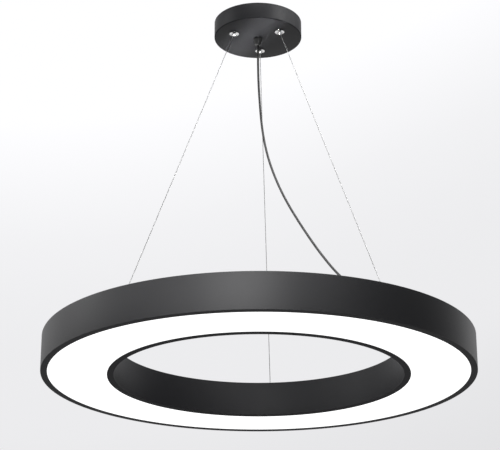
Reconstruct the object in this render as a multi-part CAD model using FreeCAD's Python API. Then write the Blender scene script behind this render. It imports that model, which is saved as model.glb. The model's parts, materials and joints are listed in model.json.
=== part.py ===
"""Ring pendant light, hung from a round ceiling canopy by three steel wires.

Millimetres, +Z up. The origin is the centre of the ceiling face, so that the
whole light hangs below z = 0. Azimuths are degrees from +X towards +Y.
"""
import FreeCAD, Part
import math
import os

from FreeCAD import Vector

os.makedirs("parts", exist_ok=True)

# Overall sizes
CEILING_TO_UNDERSIDE = 551.0
RING_OUTER_RADIUS = 300.0
RING_WIDTH = 100.0
RING_HEIGHT = 50.0
RING_TRAVEL = 200.0
CANOPY_RADIUS = 65.0

# Suspension layout: three wires, a third of a turn apart
GRIP_INSET = 26.0
SUSPENSION_TURN = -4.4
THIRD_TURN = 120.0
POSITIONS = {
    "left": 210.0 + SUSPENSION_TURN,
    "right": 330.0 + SUSPENSION_TURN,
    "rear": 90.0 + SUSPENSION_TURN,
}
GLAND_AZIMUTH = -58.0
WIRE_RADIUS = 0.5

# Clearances
RUNNING_GAP = 0.05
THREAD_GAP = 0.05
HOLE_GAP = 0.2
EDGE_GAP = 0.3
OVERRUN = 5.0

# Canopy cup and the plate that holds it to the ceiling
CUP_WALL = 1.2
CUP_EDGE_ROUND = 1.0
PLATE_GAP = 3.8
PLATE_THICKNESS = 1.5
MOUNT_INSET = 15.0
MOUNT_SLOT_RADIUS = 2.5
MOUNT_SLOT_LENGTH = 12.0
SUPPLY_HOLE_RADIUS = 8.0
SUPPLY_HOLE_FROM_SLOT = 20.0
SUPPLY_HOLE_OFFSET = 24.0
TAB_WIDTH = 14.0
TAB_HEIGHT = 16.0
SIDE_SCREW_RADIUS = 2.0
SIDE_SCREW_LENGTH = 6.5
SIDE_SCREW_DROP = 12.0
SOCKET_FLATS_share = 0.55
SOCKET_DEPTH_share = 0.8

# Terminal block inside the canopy
TERMINAL_POLES = 3
POLE_PITCH = 10.0
TERMINAL_DEPTH = 17.0
TERMINAL_HEIGHT = 12.0
TERMINAL_INSET = 26.0
TERMINAL_OFFSET = 18.0
TERMINAL_ENTRY_RADIUS = 1.6
TERMINAL_SCREW_RADIUS = 1.75
TERMINAL_SCREW_LENGTH = 4.0
TERMINAL_RIDGE = 1.0

# Power cord and the conical strain relief that it leaves the canopy through
CORD_RADIUS = 1.65
CONE_BASE_RADIUS = 6.6
CONE_SHOULDER = 1.8
CONE_END_RADIUS = 4.0
CONE_LENGTH = 11.4
NECK_RADIUS = 2.25
NECK_STEP = 0.8
RELIEF_LENGTH = 18.5
STUD_RADIUS = 4.0
STUD_LENGTH = 6.5
NUT_FLATS = 13.0
NUT_HEIGHT = 4.0

# The cord's routes, chosen by hand
# Free cord, in the upright plane through the gland: radius, level
POWER_CORD_ROUTE = [
    (0.0, -84.0),
    (4.0, -130.0),
    (10.0, -176.0),
    (23.0, -222.0),
    (45.0, -268.0),
    (74.0, -314.0),
    (109.0, -360.0),
    (145.0, -404.0),
    (174.0, -436.0),
    (192.0, -454.2),
    (205.3, -466.2),
    (214.5, -475.4),
    (217.5, -482.4),
]
# Inside the canopy, from the strain relief towards the terminal block: x, y, level
CANOPY_LEAD_ROUTE = [
    (0.0, 0.0, -14.5),
    (2.5, 8.0, -7.9),
]
# Inside the ring, from under the gland to the driver: shares of the way outwards from the
# gland to the middle of the channel, round to the driver, and down from the cover to the tray
RING_LEAD_shares = [
    (0.00, 0.00, 0.50),
    (0.11, 0.04, 0.75),
    (0.42, 0.12, 0.79),
    (0.72, 0.24, 0.77),
    (0.94, 0.40, 0.73),
    (1.08, 0.60, 0.70),
]
LEAD_STRAIGHT = 16.0

# Wire grip: chrome dish and barrel, spring, three jamming balls and blackened plunger
BARREL_RADIUS = 5.2
BARREL_HEIGHT = 16.0
DISH_SEAT_RADIUS = 6.2
DISH_RIM_RADIUS = 7.2
DISH_RIM_WIDTH = 0.5
DISH_DEPTH = 1.3
DISH_THROAT_HEIGHT = 1.3
DISH_MIDDLE_share = 0.45
WELL_RADIUS = 2.6
WELL_DEPTH = 3.0
STEM_RADIUS = 1.65
NOSE_TIP_RADIUS = 0.95
NOSE_LENGTH = 0.3
NOSE_TAPER_LENGTH = 3.4
GUIDE_LENGTH = 2.0
CAGE_RADIUS = 2.1
CAGE_LENGTH = 5.5
WIRE_BORE_GAP = 0.1
JAM_BALL_RADIUS = 1.0
JAM_BALL_LEVEL = 2.5
JAM_CONE_ANGLE = 6.0
JAM_CONE_LENGTH = 7.0
CAP_FLANGE = 1.6
CAP_SPIGOT = 1.2
SPRING_WIRE_RADIUS = 0.22
SPRING_TURNS = 4
STOP_RADIUS = 1.5
STOP_LENGTH = 3.0
STOP_TAIL = 0.6
STOP_ROOM = 2.3

# Ring bands: wall, bottom lip and the two ribs that carry straps and tray
BAND_WALL = 2.0
LIP_WIDTH = 9.3
LIP_THICKNESS = 1.0
RIB_WIDTH = 10.0
RIB_THICKNESS = 2.0
BAND_BEVEL = 0.6
COVER_THICKNESS = 1.5
STRAP_THICKNESS = 2.0
STRAP_WIDTH = 24.0
DRIVER_SPACE = 24.0
TRAY_THICKNESS = 1.5
DIFFUSER_THICKNESS = 2.0

# Light boards under the tray
BOARD_COUNT = 3
BOARD_WIDTH = 40.0
BOARD_THICKNESS = 1.6
BOARD_END_GAP = 1.5
CHIP_SIZE = 3.0
CHIP_HEIGHT = 0.8
CHIP_ROW_PITCH = 20.0
CHIPS_PER_ROW = 12
LINK_LENGTH = 12.0
LINK_WIDTH = 8.0
LINK_HEIGHT = 2.4

# Driver on the tray
DRIVER_LENGTH = 110.0
DRIVER_WIDTH = 32.0
DRIVER_HEIGHT = 16.0
DRIVER_WALL = 1.2
DRIVER_TAB_LENGTH = 8.0
DRIVER_TAB_WIDTH = 12.0
POST_RADIUS = 2.0
POST_HEIGHT = 3.0
POST_INSET = 6.0
PCB_THICKNESS = 1.6
TRANSFORMER_LENGTH = 22.0
TRANSFORMER_WIDTH = 18.0
TRANSFORMER_HEIGHT = 7.5
CAPACITOR_RADIUS = 3.6
CAPACITOR_LENGTH = 12.0
LEAD_RADIUS = 0.7
LEAD_PITCH = 3.0
LEAD_REACH = 9.0
LEAD_HOLE_RADIUS = 4.0

# Screws in the ring
SCREW_RADIUS = 1.45
SCREW_HEAD_RADIUS = 2.7
SCREW_HEAD_DEPTH = 1.3
PAN_HEAD_RADIUS = 2.8
PAN_HEAD_HEIGHT = 1.8
COVER_SCREW_PITCH = 50.0

# Wire anchors: low bushing, ball end with a crimped neck, and nut
BUSHING_HEAD_RADIUS = 6.5
BUSHING_HEAD_HEIGHT = 2.5
BUSHING_HEAD_BEVEL = 0.8
BUSHING_RADIUS = 4.5
BUSHING_LENGTH = 9.0
ANCHOR_NUT_FLATS = 12.0
ANCHOR_NUT_HEIGHT = 3.5
NUT_ROOM = 1.0
BALL_RADIUS = 3.0
BALL_BORE_GAP = 0.1
BALL_DEPTH = 1.5
SEAT_MOUTH_RADIUS = 2.4
BALL_NECK_RADIUS = 0.85
BALL_NECK_LENGTH = 4.7
FLARE_GAP = 0.15

# Cable gland on the ring's cover
GLAND_FLATS = 13.0
GLAND_BASE_HEIGHT = 3.0
GLAND_DOME_RADIUS = 5.6
GLAND_DOME_HEIGHT = 6.5
GLAND_MOUTH_RADIUS = 3.2
GLAND_HEIGHT = 11.0
GLAND_SHANK_RADIUS = 5.0
GLAND_SHANK_LENGTH = 8.0

# Levels and radii that follow from the sizes above
Z_AXIS = Vector(0, 0, 1)
FULL_TURN = 360.0
BEND_share = 0.45
STOP_TOP_HEIGHT = BARREL_HEIGHT + CAP_FLANGE + STOP_LENGTH + STOP_TAIL
FACE = -PLATE_THICKNESS - STOP_ROOM - STOP_TOP_HEIGHT
FACE_INSIDE = FACE + CUP_WALL
CUP_INSIDE_RADIUS = CANOPY_RADIUS - CUP_WALL
PLATE_RADIUS = CUP_INSIDE_RADIUS - PLATE_GAP
MOUNT_X = PLATE_RADIUS - MOUNT_INSET
SUPPLY_HOLE_X = SUPPLY_HOLE_FROM_SLOT - MOUNT_X
TERMINAL_X = PLATE_RADIUS - TERMINAL_INSET
GRIP_PITCH_RADIUS = CANOPY_RADIUS - GRIP_INSET
RING_INNER_RADIUS = RING_OUTER_RADIUS - RING_WIDTH
ANCHOR_PITCH_RADIUS = RING_INNER_RADIUS + RIB_WIDTH + ANCHOR_NUT_FLATS / 2 + NUT_ROOM
GLAND_PITCH_RADIUS = RING_INNER_RADIUS + RIB_WIDTH + GLAND_FLATS / 2 + NUT_ROOM
MIDDLE_RADIUS = (RING_OUTER_RADIUS + RING_INNER_RADIUS) / 2
CHANNEL_INNER = RING_INNER_RADIUS + BAND_WALL
CHANNEL_OUTER = RING_OUTER_RADIUS - BAND_WALL
RIB_SCREW_INSET = (BAND_WALL + RIB_WIDTH) / 2
RING_BOTTOM = -CEILING_TO_UNDERSIDE
RING_TOP = RING_BOTTOM + RING_HEIGHT
COVER_UNDERSIDE = RING_TOP - COVER_THICKNESS
STRAP_UNDERSIDE = COVER_UNDERSIDE - STRAP_THICKNESS
TRAY_TOP = COVER_UNDERSIDE - DRIVER_SPACE
TRAY_UNDERSIDE = TRAY_TOP - TRAY_THICKNESS
BOARD_UNDERSIDE = TRAY_UNDERSIDE - BOARD_THICKNESS
DIFFUSER_UNDERSIDE = RING_BOTTOM + LIP_THICKNESS
RELIEF_TIP = FACE - RELIEF_LENGTH
NOSE_TIP = FACE - NOSE_LENGTH
CAGE_SEAT = FACE + WELL_DEPTH + GUIDE_LENGTH
BALL_LEVEL = CAGE_SEAT + JAM_BALL_LEVEL
BARREL_TOP = FACE + BARREL_HEIGHT
SPRING_TOP = BARREL_TOP - CAP_SPIGOT
CAP_TOP = BARREL_TOP + CAP_FLANGE
WIRE_BORE_RADIUS = WIRE_RADIUS + WIRE_BORE_GAP
JAM_SLOPE = math.tan(math.radians(JAM_CONE_ANGLE))
BALL_OFFSET = WIRE_RADIUS + RUNNING_GAP + JAM_BALL_RADIUS
CONE_AT_BALL = BALL_OFFSET + (JAM_BALL_RADIUS + RUNNING_GAP) / math.cos(math.radians(JAM_CONE_ANGLE))
CHAMBER_RADIUS = CONE_AT_BALL + (JAM_CONE_LENGTH - JAM_BALL_LEVEL) * JAM_SLOPE
ANCHOR_Z = RING_TOP - BALL_DEPTH
GLAND_MOUTH = RING_TOP + GLAND_HEIGHT
WIRE_RUN = ANCHOR_PITCH_RADIUS - GRIP_PITCH_RADIUS
WIRE_LEAN = math.atan2(WIRE_RUN, NOSE_TIP - ANCHOR_Z)
WIRE_LEAN_RAISED = math.atan2(WIRE_RUN, NOSE_TIP - ANCHOR_Z - RING_TRAVEL)


def polar(radius, azimuth, z):
    """Point at a radius and an azimuth in degrees."""
    angle = math.radians(azimuth)
    return Vector(radius * math.cos(angle), radius * math.sin(angle), z)


def turned(shape, azimuth):
    """Copy turned about the light's own axis."""
    copy = shape.copy()
    copy.rotate(Vector(), Z_AXIS, azimuth)
    return copy


def moved(shape, offset):
    """Copy moved by a vector."""
    copy = shape.copy()
    copy.translate(offset)
    return copy


def cylinder(radius, low, high, centre=Vector()):
    """Upright round bar between two levels."""
    return Part.makeCylinder(radius, high - low, Vector(centre.x, centre.y, low), Z_AXIS)


def block(length, width, low, high, centre=Vector()):
    """Upright box, length along X and width along Y, about a centre."""
    corner = Vector(centre.x - length / 2, centre.y - width / 2, low)
    return Part.makeBox(length, width, high - low, corner)


def annulus(inner, outer, low, high):
    """Flat ring about the light's own axis."""
    return cylinder(outer, low, high).cut(cylinder(inner, low - OVERRUN, high + OVERRUN))


def hexagon(flats, low, high, centre=Vector()):
    """Upright hexagonal bar, measured across its flats, two of which face along X."""
    corner_radius = flats / 2 / math.cos(math.pi / 6)
    corners = [polar(corner_radius, 60 * k + 30, 0) + Vector(centre.x, centre.y, low) for k in range(7)]
    return Part.Face(Part.makePolygon(corners)).extrude(Vector(0, 0, high - low))


def revolved(edges):
    """Solid of revolution about Z of a closed outline drawn in the XZ plane."""
    return Part.Face(Part.Wire(edges)).revolve(Vector(), Z_AXIS, FULL_TURN)


def outline(points):
    """Edges through (radius, level) points. A None marks the next point as the middle of an arc."""
    vectors = [None if p is None else Vector(p[0], 0, p[1]) for p in points]
    edges = []
    here = vectors[0]
    index = 1
    while index < len(vectors):
        if vectors[index] is None:
            edges.append(Part.Arc(here, vectors[index + 1], vectors[index + 2]).toShape())
            here = vectors[index + 2]
            index += 3
        else:
            edges.append(Part.LineSegment(here, vectors[index]).toShape())
            here = vectors[index]
            index += 1
    edges.append(Part.LineSegment(here, vectors[0]).toShape())
    return edges


def unit(vector):
    """Copy of a vector with length 1."""
    return Vector(vector) / vector.Length


def tangent_arc(start, corner, end):
    """Arc between two points as far from a corner, touching both of the corner's sides."""
    run_in = corner - start
    run_out = end - corner
    half_turn = run_in.getAngle(run_out) / 2
    inward = unit(unit(run_out) - unit(run_in))
    depth = run_in.Length * (1 - math.cos(half_turn)) / math.sin(half_turn)
    return Part.Arc(start, corner + inward * depth, end).toShape()


def coil_path(radius, pitch, turns):
    """Helix about Z: two arcs for each quarter turn, with its points and headings at their ends."""
    def place(azimuth):
        return polar(radius, azimuth, pitch * azimuth / FULL_TURN)

    def heading(azimuth):
        return unit(polar(math.tau * radius, azimuth + FULL_TURN / 4, pitch))

    edges = []
    for quarter in range(4 * turns):
        azimuth = FULL_TURN / 4 * quarter
        start, end = place(azimuth), place(azimuth + FULL_TURN / 4)
        away, on = heading(azimuth), heading(azimuth + FULL_TURN / 4)
        chord = end - start
        along = chord.dot(away + on)
        spread = 2 * (1 - away.dot(on))
        reach = (math.sqrt(along ** 2 + spread * chord.dot(chord)) - along) / spread
        middle = (start + away * reach + end - on * reach) / 2
        edges.append(tangent_arc(start, start + away * reach, middle))
        edges.append(tangent_arc(middle, end - on * reach, end))
    return Part.Wire(edges)


def cord_path(points, name):
    """Straight runs joined by tangent arcs, each as large as its two runs allow."""
    edges = []
    here = points[0]
    for before, corner, after in zip(points, points[1:], points[2:]):
        run_in = corner - before
        run_out = after - corner
        half_turn = run_in.getAngle(run_out) / 2
        tangent = BEND_share * min(run_in.Length, run_out.Length)
        start = corner - unit(run_in) * tangent
        end = corner + unit(run_out) * tangent
        edges.append(Part.LineSegment(here, start).toShape())
        edges.append(tangent_arc(start, corner, end))
        here = end
        radius = tangent / math.tan(half_turn)
        print(f"{name}: turn {math.degrees(2 * half_turn):.1f} deg, radius {radius:.1f}")
    edges.append(Part.LineSegment(here, points[-1]).toShape())
    return Part.Wire(edges)


def cord_tube(points, radius, name):
    """Round tube along a cord's path."""
    path = cord_path(points, name)
    start = unit(points[1] - points[0])
    section = Part.Wire(Part.makeCircle(radius, points[0], start))
    tube = path.makePipeShell([section], True, False)
    share = tube.Volume / (math.pi * radius ** 2 * path.Length)
    print(f"{name}: length {path.Length:.1f}, volume over section times length {share:.4f}")
    return tube


def socket(flats, low, high, centre=Vector()):
    """Hexagonal key recess to cut from a screw's head."""
    return hexagon(flats, low, high, centre)


def countersunk_screw(top, length):
    """Flat-headed screw on the Z axis, its head's face at the level top."""
    key = socket(SCREW_RADIUS, top - SCREW_HEAD_DEPTH, top + OVERRUN)
    return revolved(outline([
        (0, top),
        (SCREW_HEAD_RADIUS, top),
        (SCREW_RADIUS, top - SCREW_HEAD_DEPTH),
        (SCREW_RADIUS, top - length),
        (0, top - length),
    ])).cut(key)


def countersink(top, length):
    """The hole that a countersunk screw sits in."""
    return revolved(outline([
        (0, top + OVERRUN),
        (SCREW_HEAD_RADIUS + THREAD_GAP, top + OVERRUN),
        (SCREW_HEAD_RADIUS + THREAD_GAP, top),
        (SCREW_RADIUS + THREAD_GAP, top - SCREW_HEAD_DEPTH),
        (SCREW_RADIUS + THREAD_GAP, top - length),
        (0, top - length),
    ]))


def pan_screw(seat, length):
    """Screw on the Z axis with a raised round head on the level seat."""
    key = socket(SCREW_RADIUS, seat + PAN_HEAD_HEIGHT / 2, seat + PAN_HEAD_HEIGHT + OVERRUN)
    head = cylinder(PAN_HEAD_RADIUS, seat, seat + PAN_HEAD_HEIGHT).cut(key)
    return head.fuse(cylinder(SCREW_RADIUS, seat - length, seat)).removeSplitter()


def ring_screws(screw, places):
    """Copies of a screw at (radius, azimuth) places round the ring."""
    return [moved(screw, polar(radius, azimuth, 0)) for radius, azimuth in places]


def drilled(shape, hole, places):
    """Shape less a hole at each (radius, azimuth) place."""
    return shape.cut([moved(hole, polar(radius, azimuth, 0)) for radius, azimuth in places])


def save(name, solids):
    """Write one node, a solid or a group of separate ones."""
    shape = solids if isinstance(solids, Part.Shape) else Part.makeCompound(solids)
    for solid in shape.Solids:
        if not solid.isValid() or solid.Volume <= 0:
            print("bad solid in", name)
    print(f"{name}: {len(shape.Solids)} solid(s), {shape.Volume / 1000:.2f} cm3")
    shape.exportStep(f"parts/{name}.step")


# Places that several pieces share
SUSPENSION_AZIMUTHS = list(POSITIONS.values())
DRIVER_AZIMUTH = POSITIONS["left"] + THIRD_TURN / 4
PLAIN_AZIMUTHS = [azimuth + THIRD_TURN / 2 for azimuth in SUSPENSION_AZIMUTHS]
STRAP_AZIMUTHS = SUSPENSION_AZIMUTHS + PLAIN_AZIMUTHS
RIB_SCREW_RADII = [RING_INNER_RADIUS + RIB_SCREW_INSET, RING_OUTER_RADIUS - RIB_SCREW_INSET]
STRAP_SCREW_PLACES = [(r, a) for a in STRAP_AZIMUTHS for r in RIB_SCREW_RADII]
TRAY_SCREW_PLACES = [(r, a + THIRD_TURN / 4) for a in STRAP_AZIMUTHS for r in RIB_SCREW_RADII]
COVER_SCREW_PLACES = [(MIDDLE_RADIUS + COVER_SCREW_PITCH / 2, a) for a in STRAP_AZIMUTHS]
COVER_SCREW_PLACES += [(MIDDLE_RADIUS - COVER_SCREW_PITCH / 2, a) for a in PLAIN_AZIMUTHS]
ANCHOR_PLACES = [(ANCHOR_PITCH_RADIUS, a) for a in SUSPENSION_AZIMUTHS]
GLAND_PLACE = [(GLAND_PITCH_RADIUS, GLAND_AZIMUTH)]
STRAP_SCREW_LENGTH = STRAP_THICKNESS + RIB_THICKNESS
COVER_SCREW_LENGTH = COVER_THICKNESS + STRAP_THICKNESS
TRAY_SCREW_LENGTH = TRAY_THICKNESS + RIB_THICKNESS


def mounting_plate():
    """Ceiling plate: two slots, an off-centre cable hole and two down-turned tabs."""
    low = -PLATE_THICKNESS
    tab_face = math.sqrt(CUP_INSIDE_RADIUS ** 2 - (TAB_WIDTH / 2) ** 2) - EDGE_GAP
    plate = cylinder(PLATE_RADIUS, low, 0)
    plate = plate.fuse(block(2 * tab_face, TAB_WIDTH, low, 0))
    for side in (-1, 1):
        centre = Vector(side * (tab_face - PLATE_THICKNESS / 2), 0, 0)
        plate = plate.fuse(block(PLATE_THICKNESS, TAB_WIDTH, -TAB_HEIGHT, 0, centre))
    plate = plate.removeSplitter()
    tapped = Part.makeCylinder(SIDE_SCREW_RADIUS + THREAD_GAP, 2 * CANOPY_RADIUS,
                               Vector(-CANOPY_RADIUS, 0, -SIDE_SCREW_DROP), Vector(1, 0, 0))
    plate = plate.cut(tapped)
    plate = plate.cut(cylinder(SUPPLY_HOLE_RADIUS, low - OVERRUN, OVERRUN,
                               Vector(SUPPLY_HOLE_X, SUPPLY_HOLE_OFFSET, 0)))
    straight = MOUNT_SLOT_LENGTH - 2 * MOUNT_SLOT_RADIUS
    for side in (-1, 1):
        centre = Vector(side * MOUNT_X, 0, 0)
        plate = plate.cut(block(straight, 2 * MOUNT_SLOT_RADIUS, low - OVERRUN, OVERRUN, centre))
        for end in (-1, 1):
            round_end = centre + Vector(end * straight / 2, 0, 0)
            plate = plate.cut(cylinder(MOUNT_SLOT_RADIUS, low - OVERRUN, OVERRUN, round_end))
    return plate


def canopy_cup():
    """Drawn cup: flat face, straight wall, holes for the grips, the cord and side screws."""
    cup = cylinder(CANOPY_RADIUS, FACE, 0)
    rim = [edge for edge in cup.Edges
           if abs(edge.BoundBox.ZMax - FACE) < CUP_WALL and edge.BoundBox.ZLength < CUP_WALL]
    cup = cup.makeFillet(CUP_EDGE_ROUND, rim)
    cup = cup.cut(cylinder(CUP_INSIDE_RADIUS, FACE_INSIDE, OVERRUN))
    cup = drilled(cup, cylinder(BARREL_RADIUS + HOLE_GAP, FACE - OVERRUN, FACE_INSIDE + OVERRUN),
                  [(GRIP_PITCH_RADIUS, azimuth) for azimuth in SUSPENSION_AZIMUTHS])
    cup = cup.cut(cylinder(STUD_RADIUS + HOLE_GAP, FACE - OVERRUN, FACE_INSIDE + OVERRUN))
    side_hole = Part.makeCylinder(SIDE_SCREW_RADIUS + HOLE_GAP, 2 * (CANOPY_RADIUS + OVERRUN),
                                  Vector(-CANOPY_RADIUS - OVERRUN, 0, -SIDE_SCREW_DROP), Vector(1, 0, 0))
    return cup.cut(side_hole)


def canopy_side_screws():
    """Two headless screws through the cup's wall into the plate's tabs, flush outside."""
    key = socket(2 * SIDE_SCREW_RADIUS * SOCKET_FLATS_share,
                 -SIDE_SCREW_RADIUS * SOCKET_DEPTH_share, OVERRUN)
    flush = math.sqrt(CANOPY_RADIUS ** 2 - SIDE_SCREW_RADIUS ** 2)
    screw = cylinder(SIDE_SCREW_RADIUS, -SIDE_SCREW_LENGTH, 0).cut(key)
    screws = []
    for side in (-1, 1):
        copy = screw.copy()
        copy.rotate(Vector(), Vector(0, 1, 0), side * FULL_TURN / 4)
        screws.append(moved(copy, Vector(side * flush, 0, -SIDE_SCREW_DROP)))
    return screws


def terminal_pole_centres():
    """Centre of each pole of the terminal block."""
    first = TERMINAL_X - POLE_PITCH * (TERMINAL_POLES - 1) / 2
    return [Vector(first + POLE_PITCH * k, TERMINAL_OFFSET, 0) for k in range(TERMINAL_POLES)]


def terminal_block():
    """Block on the plate with a ridge between its poles, cross holes and screw wells."""
    top = -PLATE_THICKNESS
    low = top - TERMINAL_HEIGHT
    length = POLE_PITCH * TERMINAL_POLES
    body = block(length, TERMINAL_DEPTH, low, top, Vector(TERMINAL_X, TERMINAL_OFFSET, 0))
    for centre in terminal_pole_centres():
        flank = POLE_PITCH - TERMINAL_RIDGE
        for side in (-1, 1):
            notch = centre + Vector(0, side * TERMINAL_DEPTH / 2, 0)
            body = body.cut(block(flank, TERMINAL_DEPTH / 3, low - OVERRUN,
                                  low + TERMINAL_HEIGHT / 3, notch))
        entry = Part.makeCylinder(TERMINAL_ENTRY_RADIUS, 2 * TERMINAL_DEPTH,
                                  Vector(centre.x, centre.y - TERMINAL_DEPTH, top - TERMINAL_HEIGHT / 2),
                                  Vector(0, 1, 0))
        body = body.cut(entry)
        well = cylinder(TERMINAL_SCREW_RADIUS + THREAD_GAP, low - OVERRUN, top - TERMINAL_HEIGHT / 2, centre)
        body = body.cut(well)
    return body


def terminal_screws():
    """One screw in each pole, its slotted head a little inside the well."""
    seat = -PLATE_THICKNESS - TERMINAL_HEIGHT
    screws = []
    for centre in terminal_pole_centres():
        low = seat + TERMINAL_RIDGE
        screw = cylinder(TERMINAL_SCREW_RADIUS, low, low + TERMINAL_SCREW_LENGTH, centre)
        slot = block(2 * POLE_PITCH, TERMINAL_RIDGE / 2, low - OVERRUN, low + TERMINAL_RIDGE, centre)
        screws.append(screw.cut(slot))
    return screws


def cord_cone():
    """Conical strain relief under the canopy, with its hollow stud through the face."""
    shoulder = FACE - CONE_SHOULDER
    slant = CONE_SHOULDER * (1 - math.sqrt(0.5))
    body = revolved(outline([
        (0, FACE + STUD_LENGTH),
        (STUD_RADIUS, FACE + STUD_LENGTH),
        (STUD_RADIUS, FACE),
        (CONE_BASE_RADIUS - CONE_SHOULDER, FACE),
        None,
        (CONE_BASE_RADIUS - slant, FACE - slant),
        (CONE_BASE_RADIUS, shoulder),
        (CONE_END_RADIUS, FACE - CONE_LENGTH),
        (NECK_RADIUS, FACE - CONE_LENGTH - NECK_STEP),
        (NECK_RADIUS, RELIEF_TIP),
        (0, RELIEF_TIP),
    ]))
    return body.cut(cylinder(CORD_RADIUS + RUNNING_GAP, RELIEF_TIP - OVERRUN, FACE + STUD_LENGTH + OVERRUN))


def inside_nut(hole_radius, centre=Vector()):
    """Hexagonal nut on the inside of the canopy's face."""
    nut = hexagon(NUT_FLATS, FACE_INSIDE, FACE_INSIDE + NUT_HEIGHT, centre)
    return nut.cut(cylinder(hole_radius, FACE_INSIDE - OVERRUN, FACE_INSIDE + NUT_HEIGHT + OVERRUN, centre))


def canopy_lead():
    """The cord from the tip of its strain relief up to the terminal block."""
    entry = Vector(TERMINAL_X - POLE_PITCH * TERMINAL_POLES / 2, TERMINAL_OFFSET,
                   -PLATE_THICKNESS - TERMINAL_HEIGHT / 2)
    route = [Vector(0, 0, RELIEF_TIP)]
    route += [Vector(*point) for point in CANOPY_LEAD_ROUTE]
    route += [entry - Vector(POLE_PITCH, 0, 0), entry]
    return cord_tube(route, CORD_RADIUS, "canopy_lead")


def power_cord():
    """The free cord, from the canopy's strain relief to the gland on the ring."""
    route = [Vector(0, 0, RELIEF_TIP)]
    route += [polar(radius, GLAND_AZIMUTH, z) for radius, z in POWER_CORD_ROUTE]
    route.append(polar(GLAND_PITCH_RADIUS, GLAND_AZIMUTH, GLAND_MOUTH))
    return cord_tube(route, CORD_RADIUS, "power_cord")


def grip_body():
    """Chrome dish under the canopy and its threaded barrel, on the Z axis."""
    rim = FACE - DISH_DEPTH
    throat = FACE + DISH_THROAT_HEIGHT
    flare_middle = (DISH_SEAT_RADIUS + (DISH_RIM_RADIUS - DISH_SEAT_RADIUS) / 3, FACE - DISH_DEPTH / 2)
    bowl_edge = DISH_RIM_RADIUS - DISH_RIM_WIDTH
    bowl_middle = (WELL_RADIUS + (bowl_edge - WELL_RADIUS) * DISH_MIDDLE_share, (rim + throat) / 2)
    barrel = [
        (WELL_RADIUS, FACE + WELL_DEPTH),
        (STEM_RADIUS + RUNNING_GAP, FACE + WELL_DEPTH),
        (STEM_RADIUS + RUNNING_GAP, CAGE_SEAT),
        (CONE_AT_BALL - JAM_BALL_LEVEL * JAM_SLOPE, CAGE_SEAT),
        (CHAMBER_RADIUS, CAGE_SEAT + JAM_CONE_LENGTH),
        (CHAMBER_RADIUS, BARREL_TOP),
    ]
    return revolved(outline([
        (BARREL_RADIUS, BARREL_TOP),
        (BARREL_RADIUS, FACE),
        (DISH_SEAT_RADIUS, FACE),
        None,
        flare_middle,
        (DISH_RIM_RADIUS, rim),
        (bowl_edge, rim),
        None,
        bowl_middle,
        (WELL_RADIUS, throat),
    ] + barrel))


def grip_cap():
    """Plug on top of the barrel, that the spring bears on."""
    cap = cylinder(BARREL_RADIUS, BARREL_TOP, CAP_TOP)
    cap = cap.fuse(cylinder(CHAMBER_RADIUS - THREAD_GAP, SPRING_TOP, BARREL_TOP)).removeSplitter()
    return cap.cut(cylinder(WIRE_BORE_RADIUS, SPRING_TOP - OVERRUN, CAP_TOP + OVERRUN))


def grip_spring():
    """Coil spring between the ball cage and the cap."""
    low = CAGE_SEAT + CAGE_LENGTH + SPRING_WIRE_RADIUS + RUNNING_GAP
    high = SPRING_TOP - SPRING_WIRE_RADIUS - RUNNING_GAP
    coil_radius = (WIRE_BORE_RADIUS + CHAMBER_RADIUS) / 2
    pitch = (high - low) / SPRING_TURNS
    path = coil_path(coil_radius, pitch, SPRING_TURNS)
    section = Part.Wire(Part.makeCircle(SPRING_WIRE_RADIUS, Vector(coil_radius, 0, 0),
                                        Vector(0, math.tau * coil_radius, pitch)))
    spring = path.makePipeShell([section], True, False)
    share = spring.Volume / (math.pi * SPRING_WIRE_RADIUS ** 2 * path.Length)
    print(f"grip_spring: gap between turns {pitch - 2 * SPRING_WIRE_RADIUS:.2f}, "
          f"volume over section times length {share:.4f}")
    return moved(spring, Vector(0, 0, low))


def plunger():
    """Release plunger: slim nose, guided stem and a cage with three ball windows."""
    taper_top = NOSE_TIP + NOSE_TAPER_LENGTH
    body = revolved(outline([
        (WIRE_BORE_RADIUS, NOSE_TIP),
        (NOSE_TIP_RADIUS, NOSE_TIP),
        (STEM_RADIUS, taper_top),
        (STEM_RADIUS, CAGE_SEAT),
        (CAGE_RADIUS, CAGE_SEAT),
        (CAGE_RADIUS, CAGE_SEAT + CAGE_LENGTH),
        (WIRE_BORE_RADIUS, CAGE_SEAT + CAGE_LENGTH),
    ]))
    for k in range(3):
        body = body.cut(Part.makeCylinder(JAM_BALL_RADIUS + RUNNING_GAP, CAGE_RADIUS + OVERRUN,
                                          Vector(0, 0, BALL_LEVEL), polar(1, THIRD_TURN * k, 0)))
    return body


def jam_balls():
    """Three balls between the wire and the barrel's cone."""
    return [Part.makeSphere(JAM_BALL_RADIUS, polar(BALL_OFFSET, THIRD_TURN * k, BALL_LEVEL))
            for k in range(3)]


def wire_tail():
    """Upper end of a wire, inside its grip, with the crimped stop that rests on the cap."""
    tail = cylinder(WIRE_RADIUS, NOSE_TIP, CAP_TOP + STOP_LENGTH + STOP_TAIL)
    return tail.fuse(cylinder(STOP_RADIUS, CAP_TOP, CAP_TOP + STOP_LENGTH)).removeSplitter()


def wire_direction():
    """From a wire's ball up towards its grip, in the upright plane of azimuth 0."""
    return Vector(-math.sin(WIRE_LEAN), 0, math.cos(WIRE_LEAN))


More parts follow.
